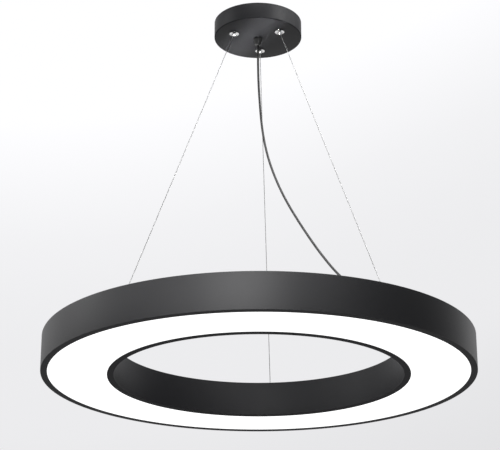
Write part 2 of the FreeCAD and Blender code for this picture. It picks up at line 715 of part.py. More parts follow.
def hanging_wire():
    """The taut wire of azimuth 0, from the ball's neck to the tip of the plunger's nose."""
    start = Vector(ANCHOR_PITCH_RADIUS, 0, ANCHOR_Z) + wire_direction() * BALL_NECK_LENGTH
    length = (NOSE_TIP - start.z) / math.cos(WIRE_LEAN) + OVERRUN
    wire = Part.makeCylinder(WIRE_RADIUS, length, start, wire_direction())
    keep = block(2 * ANCHOR_PITCH_RADIUS, 2 * BUSHING_RADIUS, RING_TOP, NOSE_TIP,
                 Vector(ANCHOR_PITCH_RADIUS, 0, 0))
    return wire.common(keep)


def wire_end():
    """Ball of azimuth 0 with the neck that is crimped on the wire."""
    centre = Vector(ANCHOR_PITCH_RADIUS, 0, ANCHOR_Z)
    ball = Part.makeSphere(BALL_RADIUS, centre)
    return ball.fuse(Part.makeCylinder(BALL_NECK_RADIUS, BALL_NECK_LENGTH, centre, wire_direction()))


def anchor_bushing():
    """Low hollow bolt on the Z axis: the ball seats in it from below, the wire leans out on top."""
    head_top = RING_TOP + BUSHING_HEAD_HEIGHT
    body = revolved(outline([
        (0, RING_TOP - BUSHING_LENGTH),
        (BUSHING_RADIUS, RING_TOP - BUSHING_LENGTH),
        (BUSHING_RADIUS, RING_TOP),
        (BUSHING_HEAD_RADIUS, RING_TOP),
        (BUSHING_HEAD_RADIUS, head_top - BUSHING_HEAD_BEVEL),
        (BUSHING_HEAD_RADIUS - BUSHING_HEAD_BEVEL, head_top),
        (0, head_top),
    ]))
    seat_radius = BALL_RADIUS + RUNNING_GAP
    mouth = ANCHOR_Z + math.sqrt(seat_radius ** 2 - SEAT_MOUTH_RADIUS ** 2)
    flare = (head_top - ANCHOR_Z) * math.tan(WIRE_LEAN_RAISED)
    flare += BALL_NECK_RADIUS / math.cos(WIRE_LEAN_RAISED) + FLARE_GAP
    body = body.cut(Part.makeSphere(seat_radius, Vector(0, 0, ANCHOR_Z)))
    body = body.cut(cylinder(BALL_RADIUS + BALL_BORE_GAP, RING_TOP - BUSHING_LENGTH - OVERRUN, ANCHOR_Z))
    return body.cut(Part.makeCone(SEAT_MOUTH_RADIUS, flare, head_top - mouth, Vector(0, 0, mouth), Z_AXIS))


def anchor_nut():
    """Thin nut under the strap, on the Z axis."""
    low = STRAP_UNDERSIDE - ANCHOR_NUT_HEIGHT
    nut = hexagon(ANCHOR_NUT_FLATS, low, STRAP_UNDERSIDE)
    return nut.cut(cylinder(BUSHING_RADIUS + THREAD_GAP, low - OVERRUN, STRAP_UNDERSIDE + OVERRUN))


def band(edge_radius, inwards):
    """Rolled profile of one wall. inwards is 1 for the inner wall and -1 for the outer one."""
    def at(depth, z):
        return (edge_radius + inwards * depth, z)

    rib_levels = [STRAP_UNDERSIDE, TRAY_UNDERSIDE]
    points = [
        at(BAND_BEVEL, RING_BOTTOM),
        at(0, RING_BOTTOM + BAND_BEVEL),
        at(0, RING_TOP - BAND_BEVEL),
        at(BAND_BEVEL, RING_TOP),
        at(BAND_WALL, RING_TOP),
    ]
    for level in rib_levels:
        points += [
            at(BAND_WALL, level),
            at(RIB_WIDTH, level),
            at(RIB_WIDTH, level - RIB_THICKNESS),
            at(BAND_WALL, level - RIB_THICKNESS),
        ]
    points += [
        at(BAND_WALL, DIFFUSER_UNDERSIDE),
        at(LIP_WIDTH, DIFFUSER_UNDERSIDE),
        at(LIP_WIDTH, RING_BOTTOM),
    ]
    body = revolved(outline(points))
    near = [place for place in STRAP_SCREW_PLACES if abs(place[0] - edge_radius) < RIB_WIDTH]
    body = drilled(body, cylinder(SCREW_RADIUS + THREAD_GAP, STRAP_UNDERSIDE - RIB_THICKNESS - OVERRUN,
                                  STRAP_UNDERSIDE + RIB_THICKNESS), near)
    near = [place for place in TRAY_SCREW_PLACES if abs(place[0] - edge_radius) < RIB_WIDTH]
    return drilled(body, cylinder(SCREW_RADIUS + THREAD_GAP, TRAY_UNDERSIDE - RIB_THICKNESS - OVERRUN,
                                  TRAY_UNDERSIDE + RIB_THICKNESS), near)


def channel_plate(low, high):
    """Flat ring that fits between the two walls."""
    return annulus(CHANNEL_INNER + EDGE_GAP, CHANNEL_OUTER - EDGE_GAP, low, high)


def strap(azimuth):
    """Radial strap that lies on both upper ribs and carries the cover."""
    bar = block(CHANNEL_OUTER - CHANNEL_INNER, STRAP_WIDTH, STRAP_UNDERSIDE, COVER_UNDERSIDE,
                Vector(MIDDLE_RADIUS, 0, 0))
    bar = turned(bar, azimuth).common(channel_plate(STRAP_UNDERSIDE, COVER_UNDERSIDE))
    bar = drilled(bar, countersink(COVER_UNDERSIDE, STRAP_THICKNESS + OVERRUN),
                  [place for place in STRAP_SCREW_PLACES if place[1] == azimuth])
    return drilled(bar, cylinder(SCREW_RADIUS + THREAD_GAP, STRAP_UNDERSIDE - OVERRUN, RING_TOP),
                   [place for place in COVER_SCREW_PLACES if place[1] == azimuth])


def anchor_strap(azimuth):
    """Strap with the hole of a wire's bushing."""
    return drilled(strap(azimuth), cylinder(BUSHING_RADIUS + HOLE_GAP, STRAP_UNDERSIDE - OVERRUN, RING_TOP),
                   [(ANCHOR_PITCH_RADIUS, azimuth)])


def top_cover():
    """Flat ring that closes the channel, flush with the walls' top edges."""
    cover = channel_plate(COVER_UNDERSIDE, RING_TOP)
    cover = drilled(cover, cylinder(BUSHING_RADIUS + HOLE_GAP, COVER_UNDERSIDE - OVERRUN,
                                    RING_TOP + OVERRUN), ANCHOR_PLACES)
    cover = drilled(cover, cylinder(GLAND_SHANK_RADIUS + HOLE_GAP, COVER_UNDERSIDE - OVERRUN,
                                    RING_TOP + OVERRUN), GLAND_PLACE)
    return drilled(cover, countersink(RING_TOP, COVER_THICKNESS + OVERRUN), COVER_SCREW_PLACES)


def ring_cord_gland():
    """Plastic gland on the cover: hexagonal base, domed top and threaded shank."""
    top = GLAND_MOUTH
    dome_end = RING_TOP + GLAND_BASE_HEIGHT + GLAND_DOME_HEIGHT
    base = hexagon(GLAND_FLATS, RING_TOP, RING_TOP + GLAND_BASE_HEIGHT)
    bend = (GLAND_DOME_RADIUS - (GLAND_DOME_RADIUS - GLAND_MOUTH_RADIUS) / 4,
            RING_TOP + GLAND_BASE_HEIGHT + GLAND_DOME_HEIGHT * 2 / 3)
    dome = revolved(outline([
        (0, RING_TOP - GLAND_SHANK_LENGTH),
        (GLAND_SHANK_RADIUS, RING_TOP - GLAND_SHANK_LENGTH),
        (GLAND_SHANK_RADIUS, RING_TOP + GLAND_BASE_HEIGHT),
        (GLAND_DOME_RADIUS, RING_TOP + GLAND_BASE_HEIGHT),
        None,
        bend,
        (GLAND_MOUTH_RADIUS, dome_end),
        (GLAND_MOUTH_RADIUS, top),
        (0, top),
    ]))
    bore = cylinder(CORD_RADIUS + RUNNING_GAP, RING_TOP - GLAND_SHANK_LENGTH - OVERRUN, top + OVERRUN)
    body = base.fuse(dome).removeSplitter().cut(bore)
    return turned(moved(body, Vector(GLAND_PITCH_RADIUS, 0, 0)), GLAND_AZIMUTH)


def gland_nut():
    """Nut that draws the gland down on the cover."""
    low = COVER_UNDERSIDE - NUT_HEIGHT
    nut = hexagon(GLAND_FLATS, low, COVER_UNDERSIDE)
    nut = nut.cut(cylinder(GLAND_SHANK_RADIUS + THREAD_GAP, low - OVERRUN, COVER_UNDERSIDE + OVERRUN))
    return turned(moved(nut, Vector(GLAND_PITCH_RADIUS, 0, 0)), GLAND_AZIMUTH)


def driver_place(along, across=0, z=0):
    """Point in the driver's own directions: along the ring and outwards, from its centre."""
    centre = polar(MIDDLE_RADIUS + across, DRIVER_AZIMUTH, z)
    return centre + polar(along, DRIVER_AZIMUTH + FULL_TURN / 4, 0)


def at_driver(shape):
    """Copy of a shape, drawn with X outwards and Y along the ring, at the driver's place."""
    return turned(moved(shape, Vector(MIDDLE_RADIUS, 0, 0)), DRIVER_AZIMUTH)


def driver_post_places():
    """Centres of the four posts under the circuit board."""
    return [Vector(side * (DRIVER_WIDTH / 2 - POST_INSET), end * (DRIVER_LENGTH / 2 - POST_INSET), 0)
            for side in (-1, 1) for end in (-1, 1)]


def driver_screw_places():
    """Centres of the screws through the two end tabs."""
    return [Vector(0, end * (DRIVER_LENGTH + DRIVER_TAB_LENGTH) / 2, 0) for end in (-1, 1)]


def driver_case():
    """Open box with end tabs, posts for the board and a lead hole in each end."""
    low = TRAY_TOP
    high = TRAY_TOP + DRIVER_HEIGHT
    body = block(DRIVER_WIDTH, DRIVER_LENGTH, low, high)
    body = body.cut(block(DRIVER_WIDTH - 2 * DRIVER_WALL, DRIVER_LENGTH - 2 * DRIVER_WALL,
                          low + DRIVER_WALL, high + OVERRUN))
    for centre in driver_post_places():
        body = body.fuse(cylinder(POST_RADIUS, low, low + DRIVER_WALL + POST_HEIGHT, centre))
    for centre in driver_screw_places():
        body = body.fuse(block(DRIVER_TAB_WIDTH, DRIVER_TAB_LENGTH, low, low + DRIVER_WALL, centre))
    body = body.removeSplitter()
    for centre in driver_screw_places():
        body = body.cut(cylinder(SCREW_RADIUS + HOLE_GAP, low - OVERRUN, high, centre))
    leads = Part.makeCylinder(CORD_RADIUS + HOLE_GAP, 2 * DRIVER_LENGTH,
                              Vector(0, -DRIVER_LENGTH, low + DRIVER_HEIGHT / 2), Vector(0, 1, 0))
    return at_driver(body.cut(leads))


def driver_lid():
    """Flat lid on the driver's case."""
    low = TRAY_TOP + DRIVER_HEIGHT
    return at_driver(block(DRIVER_WIDTH, DRIVER_LENGTH, low, low + DRIVER_WALL))


def driver_board():
    """Circuit board on its posts, with a transformer and two lying capacitors."""
    low = TRAY_TOP + DRIVER_WALL + POST_HEIGHT
    top = low + PCB_THICKNESS
    inside = 2 * (DRIVER_WALL + EDGE_GAP)
    body = block(DRIVER_WIDTH - inside, DRIVER_LENGTH - inside, low, top)
    body = body.fuse(block(TRANSFORMER_WIDTH, TRANSFORMER_LENGTH, top, top + TRANSFORMER_HEIGHT))
    for end in (-1, 1):
        middle = end * (TRANSFORMER_LENGTH + CAPACITOR_LENGTH) * 2 / 3
        start = Vector(0, middle - CAPACITOR_LENGTH / 2, top + CAPACITOR_RADIUS)
        body = body.fuse(Part.makeCylinder(CAPACITOR_RADIUS, CAPACITOR_LENGTH, start, Vector(0, 1, 0)))
        foot = block(CAPACITOR_RADIUS, CAPACITOR_LENGTH, top, top + CAPACITOR_RADIUS, Vector(0, middle, 0))
        body = body.fuse(foot)
    return at_driver(body.removeSplitter())


def driver_screws():
    """The screws through the case's end tabs into the tray."""
    screw = pan_screw(TRAY_TOP + DRIVER_WALL, DRIVER_WALL + TRAY_THICKNESS)
    return [at_driver(moved(screw, centre)) for centre in driver_screw_places()]


def ring_lead():
    """The cord from the gland's mouth down into the ring and along it to the driver."""
    level = TRAY_TOP + DRIVER_HEIGHT / 2
    arrival = driver_place(DRIVER_LENGTH / 2 + LEAD_STRAIGHT, 0, level)
    way_out = MIDDLE_RADIUS - GLAND_PITCH_RADIUS
    way_round = math.degrees(math.atan2(arrival.y, arrival.x)) - GLAND_AZIMUTH
    route = [polar(GLAND_PITCH_RADIUS, GLAND_AZIMUTH, GLAND_MOUTH)]
    for outwards, onwards, down in RING_LEAD_shares:
        route.append(polar(GLAND_PITCH_RADIUS + way_out * outwards,
                           GLAND_AZIMUTH + way_round * onwards,
                           COVER_UNDERSIDE - DRIVER_SPACE * down))
    route.append(arrival)
    route.append(driver_place(DRIVER_LENGTH / 2 - DRIVER_WALL, 0, level))
    return cord_tube(route, CORD_RADIUS, "ring_lead")


def led_lead_foot(across):
    """Where a light board's lead meets the board, through the tray."""
    return driver_place(-DRIVER_LENGTH / 2 - DRIVER_TAB_LENGTH - LEAD_REACH, across, TRAY_UNDERSIDE)


def led_leads():
    """Two thin leads from the driver's end down through the tray to a light board."""
    leads = []
    level = TRAY_TOP + DRIVER_HEIGHT / 2
    for side in (-1, 1):
        across = side * LEAD_PITCH / 2
        reach = driver_place(-DRIVER_LENGTH / 2 - DRIVER_TAB_LENGTH, across / 2, level)
        foot = led_lead_foot(across)
        knee = Vector(foot.x, foot.y, (level + TRAY_TOP) / 2)
        start = driver_place(DRIVER_WALL - DRIVER_LENGTH / 2, across / 2, level)
        leads.append(cord_tube([start, reach, knee, foot], LEAD_RADIUS, "led_leads"))
    return leads


def led_tray():
    """Flat ring on the lower ribs, with holes for its screws, the driver and the leads."""
    tray = channel_plate(TRAY_UNDERSIDE, TRAY_TOP)
    hole = cylinder(SCREW_RADIUS + HOLE_GAP, TRAY_UNDERSIDE - OVERRUN, TRAY_TOP + OVERRUN)
    tray = drilled(tray, hole, TRAY_SCREW_PLACES)
    tapped = cylinder(SCREW_RADIUS + THREAD_GAP, TRAY_UNDERSIDE - OVERRUN, TRAY_TOP + OVERRUN)
    tray = tray.cut([at_driver(moved(tapped, centre)) for centre in driver_screw_places()])
    return tray.cut(cylinder(LEAD_HOLE_RADIUS, TRAY_UNDERSIDE - OVERRUN, TRAY_TOP + OVERRUN,
                             led_lead_foot(0)))


def board_span():
    """Angle that one light board covers, in degrees."""
    return FULL_TURN / BOARD_COUNT - math.degrees(BOARD_END_GAP / MIDDLE_RADIUS)


def board_start(index):
    """Azimuth where a light board begins, just past a suspension strap."""
    return SUSPENSION_AZIMUTHS[0] + FULL_TURN / BOARD_COUNT * index


def led_board(index):
    """One arc-shaped light board under the tray."""
    section = Part.makePolygon([
        Vector(MIDDLE_RADIUS - BOARD_WIDTH / 2, 0, BOARD_UNDERSIDE),
        Vector(MIDDLE_RADIUS + BOARD_WIDTH / 2, 0, BOARD_UNDERSIDE),
        Vector(MIDDLE_RADIUS + BOARD_WIDTH / 2, 0, TRAY_UNDERSIDE),
        Vector(MIDDLE_RADIUS - BOARD_WIDTH / 2, 0, TRAY_UNDERSIDE),
        Vector(MIDDLE_RADIUS - BOARD_WIDTH / 2, 0, BOARD_UNDERSIDE),
    ])
    return turned(Part.Face(section).revolve(Vector(), Z_AXIS, board_span()), board_start(index))


def led_chips():
    """Light chips in two rows under every board."""
    chips = []
    pitch = board_span() / CHIPS_PER_ROW
    for index in range(BOARD_COUNT):
        for row in (-1, 1):
            centre = Vector(MIDDLE_RADIUS + row * CHIP_ROW_PITCH / 2, 0, 0)
            chip = block(CHIP_SIZE, CHIP_SIZE, BOARD_UNDERSIDE - CHIP_HEIGHT, BOARD_UNDERSIDE, centre)
            for k in range(CHIPS_PER_ROW):
                chips.append(turned(chip, board_start(index) + pitch * (k + 0.5)))
    return chips


def board_links():
    """Small plug links that join neighbouring boards across their gaps."""
    link = block(LINK_WIDTH, LINK_LENGTH, BOARD_UNDERSIDE - LINK_HEIGHT, BOARD_UNDERSIDE,
                 Vector(MIDDLE_RADIUS, 0, 0))
    half_gap = math.degrees(BOARD_END_GAP / MIDDLE_RADIUS) / 2
    return [turned(link, board_start(index) - half_gap) for index in range(BOARD_COUNT)]


def build_canopy():
    """Everything that stays on the ceiling."""
    save("mounting_plate", mounting_plate())
    save("canopy_cup", canopy_cup())
    save("canopy_side_screws", canopy_side_screws())
    save("terminal_block", terminal_block())
    save("terminal_screws", terminal_screws())
    save("cord_cone", cord_cone())
    save("cord_cone_nut", inside_nut(STUD_RADIUS + THREAD_GAP))
    save("canopy_lead", canopy_lead())
    save("power_cord", power_cord())


def build_grips():
    """The three wire grips, their wires and the upper wire ends."""
    places = {name: polar(GRIP_PITCH_RADIUS, azimuth, 0) for name, azimuth in POSITIONS.items()}
    spring = grip_spring()
    for name, azimuth in POSITIONS.items():
        place = places[name]
        save(f"grip_body_{name}", moved(grip_body(), place))
        save(f"grip_spring_{name}", moved(spring, place))
        save(f"plunger_{name}", moved(turned(plunger(), azimuth), place))
        save(f"grip_balls_{name}", [moved(turned(ball, azimuth), place) for ball in jam_balls()])
        save(f"wire_{name}", turned(hanging_wire(), azimuth))
    save("grip_caps", [moved(grip_cap(), place) for place in places.values()])
    save("grip_nuts", [inside_nut(BARREL_RADIUS + THREAD_GAP, place) for place in places.values()])
    save("wire_tails", [moved(wire_tail(), place) for place in places.values()])


def build_anchors():
    """What holds the wires' lower ends in the ring."""
    for name, azimuth in POSITIONS.items():
        place = polar(ANCHOR_PITCH_RADIUS, azimuth, 0)
        save(f"wire_end_{name}", turned(wire_end(), azimuth))
        save(f"anchor_bushing_{name}", moved(anchor_bushing(), place))
        save(f"anchor_strap_{name}", anchor_strap(azimuth))
    nut = moved(anchor_nut(), Vector(ANCHOR_PITCH_RADIUS, 0, 0))
    save("anchor_nuts", [turned(nut, azimuth) for azimuth in SUSPENSION_AZIMUTHS])


def build_ring():
    """The ring's shell, light source and driver."""
    save("outer_band", band(RING_OUTER_RADIUS, -1))
    save("inner_band", band(RING_INNER_RADIUS, 1))
    save("cover_straps", [strap(azimuth) for azimuth in PLAIN_AZIMUTHS])
    save("strap_screws", ring_screws(countersunk_screw(COVER_UNDERSIDE, STRAP_SCREW_LENGTH),
                                     STRAP_SCREW_PLACES))
    save("top_cover", top_cover())
    save("cover_screws", ring_screws(countersunk_screw(RING_TOP, COVER_SCREW_LENGTH), COVER_SCREW_PLACES))
    save("ring_cord_gland", ring_cord_gland())
    save("gland_nut", gland_nut())
    save("ring_lead", ring_lead())
    save("led_tray", led_tray())
    save("tray_screws", ring_screws(pan_screw(TRAY_TOP, TRAY_SCREW_LENGTH), TRAY_SCREW_PLACES))
    for index in range(BOARD_COUNT):
        save(f"led_board_{index + 1}", led_board(index))
    save("led_chips", led_chips())
    save("board_links", board_links())
    save("led_leads", led_leads())
    save("driver_case", driver_case())
    save("driver_lid", driver_lid())
    save("driver_board", driver_board())
    save("driver_screws", driver_screws())
    save("diffuser", channel_plate(DIFFUSER_UNDERSIDE, DIFFUSER_UNDERSIDE + DIFFUSER_THICKNESS))


build_canopy()
build_grips()
build_anchors()
build_ring()
print(f"wire lean {math.degrees(WIRE_LEAN):.3f} deg at rest, {math.degrees(WIRE_LEAN_RAISED):.3f} raised")
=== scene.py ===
"""Looks of a ring pendant light, dressed over its frame.

Metres, +Z up, with the origin in the middle of the ceiling face. Azimuths are
degrees from +X towards +Y. Outlines are (radius, level) points that go round
clockwise, seen with the radius to the right and the level upwards.
"""
import bpy
import json
import math
import numpy as np
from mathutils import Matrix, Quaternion, Vector


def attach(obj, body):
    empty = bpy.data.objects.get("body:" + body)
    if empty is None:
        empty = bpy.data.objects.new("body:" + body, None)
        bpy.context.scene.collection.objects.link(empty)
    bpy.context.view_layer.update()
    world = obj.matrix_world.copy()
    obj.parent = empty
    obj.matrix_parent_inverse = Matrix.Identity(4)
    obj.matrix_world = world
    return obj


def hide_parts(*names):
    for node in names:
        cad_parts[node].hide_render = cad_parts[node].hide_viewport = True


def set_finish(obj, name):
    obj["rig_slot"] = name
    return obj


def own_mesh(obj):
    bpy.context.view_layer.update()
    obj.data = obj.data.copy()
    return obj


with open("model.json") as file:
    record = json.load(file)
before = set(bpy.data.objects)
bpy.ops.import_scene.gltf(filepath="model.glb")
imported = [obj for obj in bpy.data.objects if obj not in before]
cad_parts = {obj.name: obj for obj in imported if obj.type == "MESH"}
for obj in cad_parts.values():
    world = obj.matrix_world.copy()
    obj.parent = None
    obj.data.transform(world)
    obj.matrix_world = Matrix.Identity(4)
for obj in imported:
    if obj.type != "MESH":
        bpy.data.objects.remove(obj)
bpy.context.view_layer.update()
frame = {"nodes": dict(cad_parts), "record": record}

# The photograph's frame and the camera that was fitted to it
PHOTO_WIDTH = 500
FOCAL_PIXELS = 1646.8
SENSOR_WIDTH = 36.0
CAMERA_PLACE = (0.00513, -2.19463, -1.17897)
CAMERA_PITCH = 0.37135
CAMERA_YAW = -0.00785
CAMERA_ROLL = -0.00089

# Where the three wires and the cord leave the lamp
SUSPENSION = {"left": 205.6, "right": 325.6, "rear": 85.6}
GRIP_PITCH_RADIUS = 0.039
ANCHOR_PITCH_RADIUS = 0.217
GLAND_PITCH_RADIUS = 0.2175
GLAND_AZIMUTH = -58.0
NOSE_TIP = -0.0253
ANCHOR_LEVEL = -0.5025
NECK_LENGTH = 0.0047
RING_TOP = -0.501

# Meshes: degrees of a sharp corner, least divisor, and a direction that no swept line starts along
SHARP_CORNER = 35.0
LEAST_DIVISOR = 1e-9
FRAME_GUIDE = (0.3, 0.9, 0.1)

# Free cord: radius and level of its route's points, in the upright plane of the gland
CORD_RADIUS = 0.00165
CORD_ROUTE = [
    (0.0000, -0.0435),
    (0.0000, -0.0840),
    (0.0040, -0.1300),
    (0.0100, -0.1760),
    (0.0230, -0.2220),
    (0.0450, -0.2680),
    (0.0740, -0.3140),
    (0.1090, -0.3600),
    (0.1450, -0.4040),
    (0.1740, -0.4360),
    (0.1920, -0.4542),
    (0.2053, -0.4662),
    (0.2145, -0.4754),
    (0.2175, -0.4824),
    (0.2175, -0.4900),
]
ROUTE_STEPS = 14
ROUTE_ORDER = 3
CORD_SIDES = 28

# Steel wires: six strands laid round a core
WIRE_RADIUS = 0.0005
WIRE_LAY = 0.0075
WIRE_STRANDS = 6
STRAND_SIDES = 6
RINGS_PER_LAY = 14

# Ring walls
RING_OUTER = 0.300
RING_INNER = 0.200
RING_BOTTOM = -0.551
BAND_WALL = 0.0020
LIP_WIDTH = 0.0093
LIP_THICKNESS = 0.0010
RIB_WIDTH = 0.0100
RIB_THICKNESS = 0.0020
RIB_LEVELS = (-0.5045, -0.5280)
EDGE_ROUND = 0.0008
FINE_ROUND = 0.0002
RING_SIDES = 360

# Canopy cup
CANOPY_RADIUS = 0.065
CANOPY_FACE = -0.025
CUP_WALL = 0.0012
CUP_EDGE_ROUND = 0.0014
CUP_SIDES = 192
STUD_HOLE_RADIUS = 0.0042
GRIP_HOLE_RADIUS = 0.0054
SIDE_HOLE_RADIUS = 0.0022
SIDE_HOLE_LEVEL = -0.012

# Wire grips
BARREL_RADIUS = 0.0052
BARREL_TOP = -0.0090
DISH_SEAT_RADIUS = 0.0062
DISH_RIM_RADIUS = 0.0072
DISH_RIM_WIDTH = 0.0005
DISH_DEPTH = 0.0013
THROAT_HEIGHT = 0.0013
BOWL_MIDDLE = 0.45
WELL_RADIUS = 0.0026
WELL_DEPTH = 0.0030
STEM_HOLE_RADIUS = 0.0017
CAGE_SEAT = -0.0200
CONE_FOOT_RADIUS = 0.00234
CHAMBER_RADIUS = 0.00308
CHAMBER_START = -0.0130
GRIP_SIDES = 128
SPRING_LOW = -0.01423
SPRING_HIGH = -0.01047
SPRING_RADIUS = 0.00184
SPRING_WIRE_RADIUS = 0.00022
SPRING_TURNS = 4
SPRING_STEPS = 24
SPRING_SIDES = 12

# Gland on the ring's cover
GLAND_FLATS = 0.0130
GLAND_BASE_HEIGHT = 0.0030
GLAND_DOME_RADIUS = 0.0056
GLAND_DOME_HEIGHT = 0.0065
GLAND_MOUTH_RADIUS = 0.0032
GLAND_HEIGHT = 0.0110
GLAND_SHANK_RADIUS = 0.0050
GLAND_SHANK_LENGTH = 0.0080
GLAND_BORE_RADIUS = 0.0017
GLAND_FLUTES = 14
GLAND_FLUTE_DEPTH = 0.00035
GLAND_CHAMFER = 0.9
GLAND_CHAMFER_DROP = 0.55
GLAND_DOME_RINGS = 13
GLAND_SIDES = 168

# Background: brightness against a ray's rise, less a bent share of its way to the right
BACKDROP_EDGE = 0.15
BACKDROP_TILT = 0.54
BACKDROP_BEND = 1.6
BACKDROP_LIFT = 0.039
BACKDROP_STOPS = [
    (0.000, 0.745),
    (0.200, 0.772),
    (0.240, 0.802),
    (0.275, 0.836),
    (0.326, 0.845),
    (0.354, 0.860),
    (0.388, 0.890),
    (0.417, 0.935),
    (0.455, 1.000),
]
BACKDROP_BLUE = 1.018

# Soft light from all sides
WORLD_LIGHT = 0.3

# What reflections see of the backdrop, against the +Y part of their ray: nothing, then all of it
STUDIO_DARK_UNTIL = -0.1
STUDIO_LIT_FROM = 0.9

# Floor: its level, the reach of its rings, and the share of glow in what the camera sees
FLOOR_LEVEL = -4.6
FLOOR_RADIUS = 45.0
FLOOR_REACHES = (FLOOR_RADIUS, 15.0, 6.0, 2.0, 0.5)
FLOOR_SIDES = 96
FLOOR_GLOW = 0.8

# Floor in reflections: brightness against the share of its radius
FLOOR_MIRRORED_STOPS = [(0.0, 0.60), (0.12, 0.60), (0.17, 0.42), (0.21, 0.42), (0.28, 0.85), (1.0, 1.0)]
FLOOR_MIRRORED_STRENGTH = 1.1

# Darkest and lightest colour of the black powder coat
BLACK_LOW = (0.0098, 0.0099, 0.0116, 1.0)
BLACK_HIGH = (0.0145, 0.0146, 0.0168, 1.0)

# Softboxes: place, point aimed at, side and power
SOFTBOX_SPREAD = 180.0
SOFTBOXES = {
    "front_softbox": ((-0.0674, -0.5748, -0.418), (-0.0262, -0.2989, -0.526), 0.22, 0.80),
    "front_left_softbox": ((-0.2586, -0.5132, -0.418), (-0.1026, -0.2819, -0.526), 0.22, 0.30),
    "middle_softbox": ((0.074, -0.843, -0.266), (0.0, 0.0, -0.5), 0.3, 0.60),
    "left_softbox": ((-1.302, -0.752, 0.047), (0.0, 0.0, -0.5), 0.5, 2.4),
    "far_left_softbox": ((-1.504, 0.0, 0.047), (0.0, 0.0, -0.5), 0.5, 3.4),
    "right_softbox": ((0.752, -1.302, 0.047), (0.0, 0.0, -0.5), 0.5, 1.8),
    "canopy_softbox": ((0.300, -0.260, 0.140), (0.03, -0.03, -0.01), 0.15, 0.80),
    "canopy_fill": ((0.500, -0.225, 0.250), (0.0, 0.0, 0.0), 0.2, 0.85),
    "side_left_softbox": ((-1.300, 0.750, -0.050), (0.0, 0.0, -0.5), 0.5, 0.5),
    "side_right_softbox": ((1.150, 0.970, -0.100), (0.0, 0.0, -0.5), 0.5, 0.5),
    "canopy_right_softbox": ((0.550, 0.030, 0.250), (0.0, 0.0, 0.0), 0.2, 0.50),
    "canopy_left_softbox": ((-0.450, -0.100, 0.150), (-0.03, -0.03, -0.01), 0.25, 0.42),
    "top_softbox": ((0.0, -0.6, 1.2), (0.0, 0.0, -0.5), 0.8, 20.0),
}

# Narrow beam from below that lays the streak on the canopy's face
STREAK_PLACE = (-0.012, -0.006, -0.300)
STREAK_AZIMUTH = 117.0
STREAK_LENGTH = 0.20
STREAK_WIDTH = 0.036
STREAK_POWER = 0.078
STREAK_SPREAD = 12.0


def around(azimuth):
    """Unit vector at an azimuth, in the level plane."""
    angle = math.radians(azimuth)
    return np.array([math.cos(angle), math.sin(angle), 0.0])


def shade(mesh):
    """Shades a mesh smooth, apart from its sharp corners."""
    mesh.shade_smooth()
    mesh.set_sharp_from_angle(angle=math.radians(SHARP_CORNER))


def mesh_piece(name, points, faces):
    """Object with a mesh that is shaded smooth, apart from its sharp corners."""
    mesh = bpy.data.meshes.new(name)
    mesh.from_pydata(points.reshape(-1, 3).tolist(), [], faces)
    mesh.validate()
    shade(mesh)
    piece = bpy.data.objects.new(name, mesh)
    bpy.context.scene.collection.objects.link(piece)
    return piece


def grid_faces(rows, columns, close_rows=False, close_columns=False, capped=False):
    """Quads of a grid of points, joined round where a direction closes, with flat end caps if asked."""
    index = np.arange(rows * columns).reshape(rows, columns)
    caps = [index[0][::-1].tolist(), index[-1].tolist()] if capped else []
    if close_rows:
        index = np.concatenate([index, index[:1]])
    if close_columns:
        index = np.concatenate([index, index[:, :1]], 1)
    quads = np.stack([index[:-1, :-1], index[1:, :-1], index[1:, 1:], index[:-1, 1:]], -1)
    return quads.reshape(-1, 4).tolist() + caps


def bow(start, middle, end, steps=12):
    """Arc through three outline points: centre where their bisectors meet, evenly spaced angles."""
    a, b, c = (complex(*point) for point in (start, middle, end))
    turn = (c - a) / (b - a)
    centre = a + (b - a) * (turn * turn.conjugate() - turn) / (turn.conjugate() - turn)
    first, through, last = a - centre, b - centre, c - centre
    sweep = np.angle(through / first) + np.angle(last / through)
    spin = first * np.exp(1j * np.linspace(0.0, sweep, steps)) + centre
    return np.stack([spin.real, spin.imag], -1)


def rounded(corners, steps=7):
    """Closed outline of (radius, level, rounding) corners with its corners made into arcs.

    Each arc starts rounding / tan(half the corner's angle) before the corner and turns about a
    point rounding / sin(half the angle) away from it. A corner with no rounding stays a point.
    """
    table = np.array(corners, float)
    place, rounding = table[:, :2], table[:, 2:]
    back = np.roll(place, 1, 0) - place
    ahead = np.roll(place, -1, 0) - place
    back /= np.linalg.norm(back, axis=1, keepdims=True)
    ahead /= np.linalg.norm(ahead, axis=1, keepdims=True)
    half = np.arccos(np.clip((back * ahead).sum(1, keepdims=True), -1, 1)) / 2
    middle = back + ahead
    middle /= np.maximum(np.linalg.norm(middle, axis=1, keepdims=True), LEAST_DIVISOR)
    centre = place + middle * rounding / np.sin(half)
    start = place + back * rounding / np.tan(half) - centre
    end = place + ahead * rounding / np.tan(half) - centre
    sweep = np.pi - 2 * half[:, None]
    share = np.linspace(0, 1, steps)[None, :, None]
    blend = (np.sin((1 - share) * sweep) * start[:, None] + np.sin(share * sweep) * end[:, None])
    points = centre[:, None] + blend / np.maximum(np.sin(sweep), LEAST_DIVISOR)
    points = np.where(rounding[:, None] > 0, points, place[:, None])
    kept = (rounding > 0) | (np.arange(steps) == 0)[None, :]
    return points[kept]


def revolve(name, outline, sides, centre=(0.0, 0.0)):
    """Closed outline carried round an upright axis: (r cos t, r sin t, z) about the centre."""
    radius, level = outline.T
    turn = np.linspace(0, 2 * np.pi, sides, endpoint=False)
    grid = np.empty((len(outline), sides, 3))
    grid[..., 0] = centre[0] + radius[:, None] * np.cos(turn)
    grid[..., 1] = centre[1] + radius[:, None] * np.sin(turn)
    grid[..., 2] = level[:, None]
    return mesh_piece(name, grid, grid_faces(*grid.shape[:2], close_rows=True, close_columns=True))


